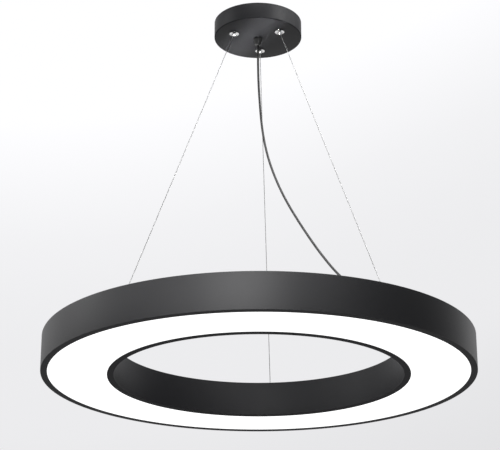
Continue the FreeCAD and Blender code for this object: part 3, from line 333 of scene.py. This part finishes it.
def swept(name, line, profile, twist=None):
    """Profile carried along a line on frames that turn only as far as the line does.

    profile holds the reach in each of its directions, and twist the angle that each ring is
    turned on by: point = line + reach (cos a sideways + sin a upwards).
    """
    ahead = np.gradient(line, axis=0)
    ahead /= np.linalg.norm(ahead, axis=1, keepdims=True)
    sideways = np.cross(ahead, np.broadcast_to(np.cross(ahead[0], FRAME_GUIDE), ahead.shape))
    sideways /= np.linalg.norm(sideways, axis=1, keepdims=True)
    upwards = np.cross(ahead, sideways)
    angle = np.linspace(0, 2 * np.pi, len(profile), endpoint=False)[None, :]
    if twist is not None:
        angle = angle + twist[:, None]
    reach = np.asarray(profile)[None, :, None]
    grid = line[:, None] + reach * (np.cos(angle)[..., None] * sideways[:, None]
                                    + np.sin(angle)[..., None] * upwards[:, None])
    return mesh_piece(name, grid, grid_faces(*grid.shape[:2], close_columns=True, capped=True))


def route_line(points):
    """Points along the spline that has a route's points as its control points."""
    curve = bpy.data.curves.new("route", "CURVE")
    curve.dimensions = "3D"
    curve.resolution_u = ROUTE_STEPS
    spline = curve.splines.new("NURBS")
    spline.points.add(len(points) - 1)
    for control, place in zip(spline.points, points):
        control.co = (*place, 1.0)
    spline.order_u = ROUTE_ORDER
    spline.use_endpoint_u = True
    holder = bpy.data.objects.new("route", curve)
    bpy.context.scene.collection.objects.link(holder)
    mesh = bpy.data.meshes.new_from_object(holder)
    line = np.array([vertex.co for vertex in mesh.vertices])
    bpy.data.meshes.remove(mesh)
    bpy.data.objects.remove(holder)
    return line


def make_camera():
    """The fitted camera, with the picture's long side as its sensor width."""
    data = bpy.data.cameras.new("camera")
    data.sensor_width = SENSOR_WIDTH
    data.lens = FOCAL_PIXELS * SENSOR_WIDTH / PHOTO_WIDTH
    camera = bpy.data.objects.new("camera", data)
    bpy.context.scene.collection.objects.link(camera)
    level = math.cos(CAMERA_PITCH)
    forward = Vector((math.sin(CAMERA_YAW) * level, math.cos(CAMERA_YAW) * level, math.sin(CAMERA_PITCH)))
    camera.rotation_mode = "QUATERNION"
    camera.rotation_quaternion = forward.to_track_quat("-Z", "Y") @ Quaternion((0, 0, 1), CAMERA_ROLL)
    camera.location = CAMERA_PLACE
    bpy.context.scene.camera = camera


def make_cord():
    """Round black cord from the canopy's cone to the ring's gland."""
    away = around(GLAND_AZIMUTH)
    line = route_line([away * radius + [0, 0, level] for radius, level in CORD_ROUTE])
    cord = swept("power_cord_free", line, np.full(CORD_SIDES, CORD_RADIUS))
    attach(cord, "canopy")
    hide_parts("power_cord")
    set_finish(cord, "cord_jacket")
    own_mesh(cord)
    return cord


def make_wire(name):
    """Taut stranded wire from a grip's nose to the neck of its ball.

    The section is the hull of six strands of a third of the wire's radius: each reaches
    d cos a + sqrt(p^2 - d^2 sin^2 a) from the middle, where d = 2 p, and it turns once a lay.
    """
    out = around(SUSPENSION[name])
    nose = out * GRIP_PITCH_RADIUS + [0, 0, NOSE_TIP]
    ball = out * ANCHOR_PITCH_RADIUS + [0, 0, ANCHOR_LEVEL]
    run = np.linalg.norm(ball - nose)
    down = (ball - nose) / run
    length = run - NECK_LENGTH
    rings = round(length / WIRE_LAY * RINGS_PER_LAY)
    along = np.linspace(0, length, rings)
    line = nose + along[:, None] * down
    strand = WIRE_RADIUS / 3
    off = np.linspace(-np.pi / WIRE_STRANDS, np.pi / WIRE_STRANDS, STRAND_SIDES, endpoint=False)
    hull = 2 * strand * np.cos(off) + np.sqrt(np.maximum(strand ** 2 - (2 * strand * np.sin(off)) ** 2, 0))
    wire = swept(f"wire_strands_{name}", line, np.tile(hull, WIRE_STRANDS), 2 * np.pi * along / WIRE_LAY)
    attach(wire, "canopy")
    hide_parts(f"wire_{name}")
    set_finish(wire, "wire_steel")
    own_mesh(wire)
    return wire


def ring_wall(name, node, edge, inwards):
    """Rolled wall with its lip and two ribs. inwards is 1 on the hole's side and -1 outside."""
    def at(depth, level, rounding):
        return (edge + inwards * depth, level, rounding)

    corners = [
        at(0, RING_BOTTOM, EDGE_ROUND),
        at(0, RING_TOP, EDGE_ROUND),
        at(BAND_WALL, RING_TOP, FINE_ROUND),
    ]
    for level in RIB_LEVELS:
        corners += [
            at(BAND_WALL, level, FINE_ROUND),
            at(RIB_WIDTH, level, FINE_ROUND),
            at(RIB_WIDTH, level - RIB_THICKNESS, FINE_ROUND),
            at(BAND_WALL, level - RIB_THICKNESS, FINE_ROUND),
        ]
    corners += [
        at(BAND_WALL, RING_BOTTOM + LIP_THICKNESS, FINE_ROUND),
        at(LIP_WIDTH, RING_BOTTOM + LIP_THICKNESS, FINE_ROUND),
        at(LIP_WIDTH, RING_BOTTOM, FINE_ROUND),
    ]
    outline = rounded(corners)
    wall = revolve(name, outline if inwards > 0 else outline[::-1], RING_SIDES)
    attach(wall, "ring")
    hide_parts(node)
    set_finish(wall, "black_metal")
    return wall


def bar(name, radius, start, end, sides=96):
    """Closed round bar between two points, for cutting a hole."""
    line = np.linspace(start, end, 2)
    return swept(name, line, np.full(sides, radius))


def cut_away(piece, cutters):
    """Leaves the piece without what the cutters cover, and removes them."""
    for cutter in cutters:
        step = piece.modifiers.new("hole", "BOOLEAN")
        step.operation = "DIFFERENCE"
        step.solver = "EXACT"
        step.object = cutter
    bpy.context.view_layer.update()
    cut = piece.evaluated_get(bpy.context.evaluated_depsgraph_get())
    mesh = bpy.data.meshes.new_from_object(cut)
    piece.modifiers.clear()
    piece.data = mesh
    shade(mesh)
    for cutter in cutters:
        bpy.data.objects.remove(cutter)


def make_cup():
    """Drawn cup with a soft edge, and with its holes for the grips and the side screws."""
    inside = CANOPY_RADIUS - CUP_WALL
    cup = revolve("canopy_shell", rounded([
        (CANOPY_RADIUS, 0.0, FINE_ROUND),
        (CANOPY_RADIUS, CANOPY_FACE, CUP_EDGE_ROUND),
        (STUD_HOLE_RADIUS, CANOPY_FACE, FINE_ROUND),
        (STUD_HOLE_RADIUS, CANOPY_FACE + CUP_WALL, FINE_ROUND),
        (inside, CANOPY_FACE + CUP_WALL, FINE_ROUND),
        (inside, 0.0, FINE_ROUND),
    ]), CUP_SIDES)
    reach = 2 * CUP_WALL
    cutters = []
    for name, azimuth in SUSPENSION.items():
        place = around(azimuth) * GRIP_PITCH_RADIUS
        cutters.append(bar(f"grip_hole_{name}", GRIP_HOLE_RADIUS, place + [0, 0, CANOPY_FACE - reach],
                           place + [0, 0, CANOPY_FACE + 2 * reach]))
    for side in (-1, 1):
        cutters.append(bar("side_hole", SIDE_HOLE_RADIUS,
                           np.array([side * (inside - reach), 0, SIDE_HOLE_LEVEL]),
                           np.array([side * (CANOPY_RADIUS + reach), 0, SIDE_HOLE_LEVEL])))
    cut_away(cup, cutters)
    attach(cup, "canopy")
    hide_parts("canopy_cup")
    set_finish(cup, "black_metal")
    return cup


def make_grip(name):
    """Chrome dish with a rolled rim, its well, and the barrel with the balls' cone inside."""
    rim = CANOPY_FACE - DISH_DEPTH
    throat = CANOPY_FACE + THROAT_HEIGHT
    bowl_edge = DISH_RIM_RADIUS - DISH_RIM_WIDTH
    flare = bow((DISH_SEAT_RADIUS, CANOPY_FACE),
                (DISH_SEAT_RADIUS + (DISH_RIM_RADIUS - DISH_SEAT_RADIUS) / 3, CANOPY_FACE - DISH_DEPTH / 2),
                (DISH_RIM_RADIUS, rim))
    bowl = bow((bowl_edge, rim),
               (WELL_RADIUS + (bowl_edge - WELL_RADIUS) * BOWL_MIDDLE, (rim + throat) / 2),
               (WELL_RADIUS, throat), 20)
    corners = [(BARREL_RADIUS, BARREL_TOP, FINE_ROUND), (BARREL_RADIUS, CANOPY_FACE, 0)]
    corners += [(radius, level, 0) for radius, level in flare[:-1]]
    corners += [(DISH_RIM_RADIUS, rim, DISH_RIM_WIDTH / 3), (bowl_edge, rim, DISH_RIM_WIDTH / 3)]
    corners += [(radius, level, 0) for radius, level in bowl[1:-1]]
    corners += [
        (WELL_RADIUS, throat, FINE_ROUND),
        (WELL_RADIUS, CANOPY_FACE + WELL_DEPTH, FINE_ROUND),
        (STEM_HOLE_RADIUS, CANOPY_FACE + WELL_DEPTH, FINE_ROUND),
        (STEM_HOLE_RADIUS, CAGE_SEAT, 0),
        (CONE_FOOT_RADIUS, CAGE_SEAT, 0),
        (CHAMBER_RADIUS, CHAMBER_START, 0),
        (CHAMBER_RADIUS, BARREL_TOP, 0),
    ]
    place = around(SUSPENSION[name]) * GRIP_PITCH_RADIUS
    grip = revolve(f"grip_dish_{name}", rounded(corners), GRIP_SIDES, place[:2])
    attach(grip, "canopy")
    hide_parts(f"grip_body_{name}")
    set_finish(grip, "chrome")
    return grip


def make_spring(name):
    """Coil spring in a grip: a circle carried up a helix."""
    place = around(SUSPENSION[name]) * GRIP_PITCH_RADIUS
    turn = np.linspace(0, 2 * np.pi * SPRING_TURNS, SPRING_STEPS * SPRING_TURNS)
    rise = np.linspace(SPRING_LOW, SPRING_HIGH, len(turn))
    out = np.stack([np.cos(turn), np.sin(turn), np.zeros_like(turn)], -1)
    angle = np.linspace(0, 2 * np.pi, SPRING_SIDES, endpoint=False)
    middle = place + out * SPRING_RADIUS + rise[:, None] * np.array([0, 0, 1])
    grid = (middle[:, None] + SPRING_WIRE_RADIUS * np.cos(angle)[None, :, None] * out[:, None]
            + SPRING_WIRE_RADIUS * np.sin(angle)[None, :, None] * np.array([0, 0, -1]))
    faces = grid_faces(*grid.shape[:2], close_columns=True, capped=True)
    spring = mesh_piece(f"grip_coil_{name}", grid, faces)
    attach(spring, "canopy")
    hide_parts(f"grip_spring_{name}")
    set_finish(spring, "zinc_steel")
    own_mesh(spring)
    return spring


def make_gland():
    """Moulded gland: a hexagon whose corners a cone cuts, under a dome with grip flutes.

    The base reaches min(half the flats / cos(angle from a flat's middle), chamfer circle), and
    the dome's radius has a groove of (1 - cos(n a)) / 2 to the third power.
    """
    turn = np.linspace(0, 2 * np.pi, GLAND_SIDES, endpoint=False)
    sector = np.mod(turn + np.pi / 6, np.pi / 3) - np.pi / 6
    hexagon = GLAND_FLATS / 2 / np.cos(sector)
    corner = GLAND_FLATS / 2 / math.cos(math.pi / 6)
    chamfer = (corner - GLAND_FLATS / 2) * GLAND_CHAMFER
    top = RING_TOP + GLAND_BASE_HEIGHT
    dome_end = top + GLAND_DOME_HEIGHT
    mouth = RING_TOP + GLAND_HEIGHT
    rows = []

    def ring_of(reach, level):
        """Adds the points at a level that reach so far from the gland's axis."""
        rows.append(np.stack([reach * np.cos(turn), reach * np.sin(turn), np.full_like(turn, level)], -1))

    flute = ((1 - np.cos(GLAND_FLUTES * turn)) / 2) ** 3
    ring_of(GLAND_BORE_RADIUS, mouth)
    for share in np.linspace(0, 1, 4):
        ring_of(GLAND_MOUTH_RADIUS - FINE_ROUND * (1 - share), mouth - FINE_ROUND * share)
    ring_of(GLAND_MOUTH_RADIUS, dome_end)
    for share in np.linspace(0, 1, GLAND_DOME_RINGS + 1)[1:]:
        swell = math.sin(share * math.pi / 2) ** 0.8
        radius = GLAND_MOUTH_RADIUS + (GLAND_DOME_RADIUS - GLAND_MOUTH_RADIUS) * swell
        level = dome_end - GLAND_DOME_HEIGHT * share ** 1.5
        fade = math.sin(share * math.pi) ** 0.5
        ring_of(radius - GLAND_FLUTE_DEPTH * flute * fade, level)
    for share in np.linspace(0, 1, 5):
        drop = chamfer * GLAND_CHAMFER_DROP * share
        ring_of(np.minimum(hexagon, corner - chamfer * (1 - share)), top - drop)
    ring_of(hexagon, RING_TOP + FINE_ROUND)
    ring_of(hexagon - FINE_ROUND, RING_TOP)
    ring_of(GLAND_SHANK_RADIUS, RING_TOP)
    ring_of(GLAND_SHANK_RADIUS, RING_TOP - GLAND_SHANK_LENGTH)
    ring_of(GLAND_BORE_RADIUS, RING_TOP - GLAND_SHANK_LENGTH)
    angle = math.radians(GLAND_AZIMUTH)
    grid = np.array(rows)
    spun = np.array([
        [math.cos(angle), -math.sin(angle), 0],
        [math.sin(angle), math.cos(angle), 0],
        [0, 0, 1],
    ])
    grid = (grid + [GLAND_PITCH_RADIUS, 0, 0]) @ spun.T
    gland = mesh_piece("cord_gland", grid, grid_faces(*grid.shape[:2], close_rows=True, close_columns=True))
    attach(gland, "ring")
    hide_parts("ring_cord_gland")
    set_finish(gland, "black_plastic")
    return gland


class Signal:
    """A socket in a shader's tree of nodes. Arithmetic on it adds Math nodes."""

    def __init__(self, tree, socket=None):
        self.tree = tree
        self.socket = socket

    def node(self, kind, settings=None, inputs=None, output=0):
        """Any node: its settings are set first, and then its sockets' values or links."""
        made = self.tree.nodes.new(kind)
        for key, value in (settings or {}).items():
            if key == "stops":
                set_stops(made.color_ramp, value)
            else:
                setattr(made, key, value)
        for key, value in (inputs or {}).items():
            if isinstance(value, Signal):
                self.tree.links.new(value.socket, made.inputs[key])
            else:
                made.inputs[key].default_value = value
        return Signal(self.tree, made.outputs[output] if len(made.outputs) else None)

    def math(self, operation, first, second=0.0):
        return self.node("ShaderNodeMath", {"operation": operation}, {0: first, 1: second})

    def __add__(self, other):
        return self.math("ADD", self, other)

    __radd__ = __add__

    def __sub__(self, other):
        return self.math("SUBTRACT", self, other)

    def __rsub__(self, other):
        return self.math("SUBTRACT", other, self)

    def __mul__(self, other):
        return self.math("MULTIPLY", self, other)

    __rmul__ = __mul__

    def __truediv__(self, other):
        return self.math("DIVIDE", self, other)

    def __rtruediv__(self, other):
        return self.math("DIVIDE", other, self)

    def __pow__(self, other):
        return self.math("POWER", self, other)

    def __rpow__(self, other):
        return self.math("POWER", other, self)


def set_stops(ramp, stops):
    """Gives a colour ramp its (place, grey) stops."""
    while len(ramp.elements) < len(stops):
        ramp.elements.new(1.0)
    for element, (place, tone) in zip(ramp.elements, stops):
        element.position = place
        element.color = (tone, tone, tone, 1.0)


def empty_tree(owner):
    """The tree of a material or world, without its first nodes."""
    owner.use_nodes = True
    owner.node_tree.nodes.clear()
    return Signal(owner.node_tree)


def noise(tree, scale, detail=2.0, stretch=None):
    """Noise from 0 to 1, its scale in lumps for each metre, drawn out by a stretch."""
    where = tree.node("ShaderNodeTexCoord", output="Object")
    if stretch:
        where = tree.node("ShaderNodeMapping", inputs={"Vector": where, "Scale": stretch})
    return tree.node("ShaderNodeTexNoise", inputs={"Vector": where, "Scale": scale, "Detail": detail})


def mix(share, first, second):
    """Colour that goes from the first to the second with a share."""
    return share.node("ShaderNodeMix", {"data_type": "RGBA"}, {0: share, 6: first, 7: second}, output=2)


def bump(height, distance):
    """Normal of a surface that stands up by height times distance."""
    return height.node("ShaderNodeBump", inputs={"Height": height, "Distance": distance})


def grey(tone):
    """Opaque grey."""
    return (tone, tone, tone, 1.0)


def finish(name, build, **constants):
    """Material whose constants go straight on the shader, and whose varying inputs build() returns."""
    material = bpy.data.materials.new(name)
    tree = empty_tree(material)
    inputs = {key.replace("_", " "): value for key, value in constants.items()}
    inputs.update(build(tree))
    surface = tree.node("ShaderNodeBsdfPrincipled", inputs=inputs)
    tree.node("ShaderNodeOutputMaterial", inputs={"Surface": surface})
    return material


def facing_down(tree, start, end):
    """Share from 0 to 1 as a surface turns down: the drop of its normal goes from start to end."""
    normal = tree.node("ShaderNodeNewGeometry", output="True Normal")
    rise = tree.node("ShaderNodeSeparateXYZ", inputs={0: normal}, output="Z")
    return tree.node("ShaderNodeMapRange", inputs={0: rise, 1: -start, 2: -end})


def powder_coat(tree):
    """Fine matte black powder coat: tiny grains on a slight orange peel."""
    grain = noise(tree, 2600)
    peel = noise(tree, 420, 1.0)
    clouds = noise(tree, 9)
    return {
        "Base Color": mix(grain * 0.6 + clouds * 0.4, BLACK_LOW, BLACK_HIGH),
        "Roughness": 0.44 + peel * 0.06 + grain * 0.05,
        "Normal": bump(grain * 0.5 + peel, 0.000005),
    }


def wall_coat(tree):
    """The same powder coat, duller on the narrow lip that faces down."""
    inputs = powder_coat(tree)
    inputs["Roughness"] = inputs["Roughness"] + facing_down(tree, 0.6, 0.9) * 0.36
    return inputs


def cup_coat(tree):
    """The same powder coat, duller on the rounding between the canopy's side and face."""
    inputs = powder_coat(tree)
    rounding = facing_down(tree, 0.05, 0.25) - facing_down(tree, 0.9, 0.99)
    inputs["Roughness"] = inputs["Roughness"] + rounding * 0.42
    return inputs


def opal(tree):
    """Opal sheet: fine matte grain, with the light a touch stronger in soft patches."""
    grain = noise(tree, 3000, 1.0)
    clouds = noise(tree, 14, 1.0)
    return {
        "Base Color": mix(grain, grey(0.86), grey(0.90)),
        "Emission Color": mix(clouds, grey(0.965), grey(1.0)),
        "Roughness": 0.42 + grain * 0.1,
        "Normal": bump(grain, 0.000008),
    }


def polished_chrome(tree):
    """Chrome over turned brass: faint turning rings and a soft haze."""
    haze = noise(tree, 300, 3.0)
    rings = noise(tree, 90, 1.0, stretch=(1.0, 1.0, 60.0))
    return {
        "Base Color": mix(haze, (0.78, 0.78, 0.79, 1.0), (0.86, 0.86, 0.87, 1.0)),
        "Roughness": 0.06 + haze * 0.06,
        "Normal": bump(rings, 0.000004),
    }


def cut_dish(tree):
    """Chrome dish where the surface faces down, painted black as shade where it turns sideways, for the
    dark reflection those sides show.
    """
    # Share that faces down stays chrome; the rest is painted shade in black
    chrome_else_painted_shade = facing_down(tree, 0.15, 0.35)
    haze = noise(tree, 300, 3.0)
    rings = noise(tree, 90, 1.0, stretch=(1.0, 1.0, 40.0))
    return {
        # The black base colour is painted shade on the dish's sideways-facing sides
        "Base Color": mix(chrome_else_painted_shade, grey(0.012), mix(haze, grey(0.93), grey(0.97))),
        "Metallic": chrome_else_painted_shade,
        "Roughness": 0.42 - chrome_else_painted_shade * 0.20 + haze * 0.04,
        "Normal": bump(rings, 0.000002),
    }


def strand_steel(tree):
    """Drawn steel strand: fine scratches along it and darker oil in places."""
    scratches = noise(tree, 500, stretch=(4.0, 4.0, 0.3))
    oil = noise(tree, 60)
    return {
        "Base Color": mix(oil, grey(0.40), grey(0.52)),
        "Roughness": 0.26 + scratches * 0.08,
        "Normal": bump(scratches, 0.000003),
    }


def zinc_plate(tree):
    """Bright zinc with a cool passivated bloom in patches."""
    bloom = noise(tree, 70, 3.0)
    scratches = noise(tree, 260, stretch=(1.0, 12.0, 12.0))
    return {
        "Base Color": mix(bloom, (0.52, 0.55, 0.60, 1.0), (0.68, 0.67, 0.62, 1.0)),
        "Roughness": 0.26 + bloom * 0.12 + scratches * 0.08,
        "Normal": bump(scratches, 0.000006),
    }


def black_oxide(tree):
    """Black oxide on screws and plungers, worn a little lighter in specks."""
    specks = noise(tree, 1600, 3.0)
    return {
        "Base Color": mix(specks ** 3.0, grey(0.016), grey(0.07)),
        "Roughness": 0.32 + specks * 0.2,
        "Normal": bump(specks, 0.00001),
    }


def turned_brass(tree):
    """Turned brass with a light tarnish."""
    tarnish = noise(tree, 180, 3.0)
    return {
        "Base Color": mix(tarnish, (0.70, 0.50, 0.22, 1.0), (0.85, 0.68, 0.36, 1.0)),
        "Roughness": 0.22 + tarnish * 0.16,
        "Normal": bump(noise(tree, 120, 1.0, stretch=(1.0, 1.0, 50.0)), 0.000006),
    }


def moulded_black(tree):
    """Spark-eroded black moulding: fine even grain, a little duller on its high spots."""
    grain = noise(tree, 3400, 1.0)
    flow = noise(tree, 40)
    return {
        "Base Color": mix(flow, grey(0.010), grey(0.017)),
        "Roughness": 0.52 + grain * 0.16,
        "Normal": bump(grain, 0.00002),
    }


def cord_jacket(tree):
    """Smooth black jacket with faint drawing lines along it and a little dust."""
    drawn = noise(tree, 900, 1.0, stretch=(1.0, 1.0, 0.05))
    dust = noise(tree, 220, 4.0)
    return {
        "Base Color": mix(dust ** 4.0, grey(0.035), grey(0.07)),
        "Roughness": 0.46 + drawn * 0.12,
        "Normal": bump(drawn, 0.00001),
    }


def white_moulding(tree):
    """White polyamide with a slight flow pattern."""
    flow = noise(tree, 160)
    return {
        "Base Color": mix(flow, (0.80, 0.79, 0.75, 1.0), (0.88, 0.87, 0.84, 1.0)),
        "Roughness": 0.45 + flow * 0.1,
        "Normal": bump(noise(tree, 2600, 1.0), 0.00001),
    }


def mill_aluminium(tree):
    """Rolled sheet with its long fine rolling marks."""
    rolled = noise(tree, 1400, stretch=(0.02, 1.0, 1.0))
    return {
        "Base Color": mix(rolled, grey(0.66), grey(0.78)),
        "Roughness": 0.30 + rolled * 0.14,
        "Normal": bump(rolled, 0.000006),
    }


def solder_mask(low, high):
    """Builder of a light board's or circuit board's lacquer between two colours."""
    def build(tree):
        cloud = noise(tree, 120)
        tracks = noise(tree, 420, 0.0, stretch=(1.0, 0.25, 1.0))
        return {
            "Base Color": mix(cloud * 0.5 + tracks * 0.5, low, high),
            "Roughness": 0.30 + cloud * 0.1,
            "Normal": bump(tracks, 0.00002),
        }
    return build


def phosphor(tree):
    """Yellow silicone over a light chip."""
    grain = noise(tree, 4000)
    return {
        "Base Color": mix(grain, (0.85, 0.70, 0.22, 1.0), (0.95, 0.84, 0.40, 1.0)),
        "Roughness": 0.25 + grain * 0.2,
        "Normal": bump(grain, 0.00001),
    }


FINISHES = {
    "black_metal": finish("powder_coat", powder_coat),
    "opal_diffuser": finish("opal", opal, Emission_Strength=1.12),
    "chrome": finish("polished_chrome", polished_chrome, Metallic=1.0),
    "wire_steel": finish("strand_steel", strand_steel, Metallic=1.0),
    "zinc_steel": finish("zinc_plate", zinc_plate, Metallic=1.0),
    "black_screw": finish("black_oxide", black_oxide, Metallic=0.6),
    "brass": finish("turned_brass", turned_brass, Metallic=1.0),
    "black_plastic": finish("moulded_black", moulded_black),
    "cord_jacket": finish("cord_jacket", cord_jacket),
    "white_plastic": finish("white_moulding", white_moulding),
    "tray_aluminium": finish("mill_aluminium", mill_aluminium, Metallic=1.0),
    "white_board": finish("white_lacquer", solder_mask((0.82, 0.83, 0.82, 1.0), (0.90, 0.90, 0.88, 1.0))),
    "green_board": finish("green_lacquer", solder_mask((0.02, 0.13, 0.05, 1.0), (0.04, 0.22, 0.09, 1.0))),
    "led_phosphor": finish("phosphor", phosphor),
}
OWN_FINISHES = {
    # Grip dishes: chrome, with painted shade in black where they turn sideways
    "grip_dish": finish("cut_dish", cut_dish),
    "outer_wall": finish("wall_coat", wall_coat),
    "inner_wall": finish("inner_coat", wall_coat, Specular_IOR_Level=0.32),
    "canopy_shell": finish("cup_coat", cup_coat, Specular_IOR_Level=0.24),
}


def dress_frame():
    """Gives every node of the frame the finish of its slot in the record."""
    for row in frame["record"]["subparts"]:
        node = frame["nodes"][row["node"]]
        for holder in node.material_slots:
            holder.material = FINISHES[row["material_slot"]]


def dress(pieces):
    """Gives the new pieces their own finish, or that of their slots."""
    for piece in pieces:
        own = [made for name, made in OWN_FINISHES.items() if piece.name.startswith(name)]
        piece.data.materials.clear()
        piece.data.materials.append(own[0] if own else FINISHES[piece["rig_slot"]])


def backdrop_tone(rise, right):
    """Background colour for a ray's rise and its way to the right: pale grey low down, white above."""
    way = rise.math("MAXIMUM", right + BACKDROP_EDGE) ** BACKDROP_BEND
    level = rise + BACKDROP_LIFT - way * BACKDROP_TILT
    tone = rise.node("ShaderNodeValToRGB", {"stops": BACKDROP_STOPS}, {0: level})
    return rise.node("ShaderNodeMix", {"data_type": "RGBA", "blend_type": "MULTIPLY"},
                     {0: 1.0, 6: tone, 7: (1.0, 1.0, BACKDROP_BLUE, 1.0)}, output=2)


def ray_signals(tree, *kinds):
    """Signals that are 1 for a ray of each of the kinds and 0 for any other."""
    return [tree.node("ShaderNodeLightPath", output=f"Is {kind} Ray") for kind in kinds]


def make_world():
    """Soft even light, and the pale backdrop, which reflections see fade to a dark studio in front."""
    world = bpy.data.worlds.new("studio")
    bpy.context.scene.world = world
    tree = empty_tree(world)
    direction = tree.node("ShaderNodeTexCoord", output="Generated")
    right, away, rise = (tree.node("ShaderNodeSeparateXYZ", inputs={0: direction}, output=axis)
                         for axis in "XYZ")
    tone = backdrop_tone(rise, right)
    lit = tree.node("ShaderNodeMapRange", {"interpolation_type": "SMOOTHSTEP"},
                    {0: away, 1: STUDIO_DARK_UNTIL, 2: STUDIO_LIT_FROM})
    seen = tree.node("ShaderNodeBackground", inputs={"Color": tone, "Strength": 1.0})
    light = tree.node("ShaderNodeBackground", inputs={"Color": grey(1.0), "Strength": WORLD_LIGHT})
    mirrored = tree.node("ShaderNodeBackground", inputs={"Color": tone, "Strength": lit})
    camera, glossy, through = ray_signals(tree, "Camera", "Glossy", "Transmission")
    direct = camera.math("MAXIMUM", camera, through)
    shown = tree.node("ShaderNodeMixShader", inputs={0: glossy, 1: light, 2: mirrored})
    shown = tree.node("ShaderNodeMixShader", inputs={0: direct, 1: shown, 2: seen})
    tree.node("ShaderNodeOutputWorld", inputs={"Surface": shown})


def make_floor():
    """Wide pale floor far below, whose colour meets the backdrop's.

    Reflections see it dimmest in a ring round its middle, and brightest at its edge.
    """
    turn = np.linspace(0, 2 * np.pi, FLOOR_SIDES, endpoint=False)
    reach = np.array(FLOOR_REACHES)[:, None]
    level = np.full((len(reach), FLOOR_SIDES), FLOOR_LEVEL)
    grid = np.stack([reach * np.cos(turn), reach * np.sin(turn), level], -1)
    middle = np.arange(level.size)[-FLOOR_SIDES:].tolist()
    floor = mesh_piece("floor", grid, grid_faces(*level.shape, close_columns=True) + [middle])
    material = bpy.data.materials.new("floor")
    tree = empty_tree(material)
    tone = BACKDROP_STOPS[0][1]
    colour = (tone, tone, tone * BACKDROP_BLUE, 1.0)
    matte = tree.node("ShaderNodeBsdfDiffuse", inputs={"Color": colour})
    glow = tree.node("ShaderNodeEmission", inputs={"Color": colour, "Strength": 1.0})
    place = tree.node("ShaderNodeTexCoord", output="Object")
    outwards = tree.node("ShaderNodeVectorMath", {"operation": "LENGTH"}, {0: place}, output=1)
    stops = {"stops": FLOOR_MIRRORED_STOPS}
    brightness = tree.node("ShaderNodeValToRGB", stops, {0: outwards / FLOOR_RADIUS})
    mirrored = tree.node("ShaderNodeEmission",
                         inputs={"Color": brightness, "Strength": FLOOR_MIRRORED_STRENGTH})
    camera, glossy = ray_signals(tree, "Camera", "Glossy")
    shown = tree.node("ShaderNodeMixShader", inputs={0: camera * FLOOR_GLOW, 1: matte, 2: glow})
    shown = tree.node("ShaderNodeMixShader", inputs={0: glossy, 1: shown, 2: mirrored})
    tree.node("ShaderNodeOutputMaterial", inputs={"Surface": shown})
    floor.data.materials.append(material)


def area_lamp(name, place, facing, width, height, power, spread):
    """Rectangular lamp at a place, turned by a rotation from shining straight down."""
    data = bpy.data.lights.new(name, "AREA")
    data.shape = "RECTANGLE"
    data.size = width
    data.size_y = height
    data.energy = power
    data.spread = math.radians(spread)
    lamp = bpy.data.objects.new(name, data)
    lamp.location = place
    lamp.rotation_mode = "QUATERNION"
    lamp.rotation_quaternion = facing
    bpy.context.scene.collection.objects.link(lamp)
    lamp.visible_camera = False


def make_lamps():
    """Softboxes, and the narrow beam that lays a soft streak across the canopy's face."""
    for name, (place, aim, side, power) in SOFTBOXES.items():
        facing = (Vector(aim) - Vector(place)).to_track_quat("-Z", "Y")
        area_lamp(name, place, facing, side, side, power, SOFTBOX_SPREAD)
    facing = Quaternion((0, 0, 1), math.radians(STREAK_AZIMUTH)) @ Quaternion((1, 0, 0), math.pi)
    area_lamp("streak", STREAK_PLACE, facing, STREAK_LENGTH, STREAK_WIDTH, STREAK_POWER, STREAK_SPREAD)


make_camera()
pieces = [make_cord()]
for name in SUSPENSION:
    pieces += [make_wire(name), make_grip(name), make_spring(name)]
pieces.append(ring_wall("outer_wall", "outer_band", RING_OUTER, -1))
pieces.append(ring_wall("inner_wall", "inner_band", RING_INNER, 1))
pieces += [make_cup(), make_gland()]
dress_frame()
dress(pieces)
make_world()
make_floor()
make_lamps()
bpy.context.scene.view_settings.view_transform = "Standard"
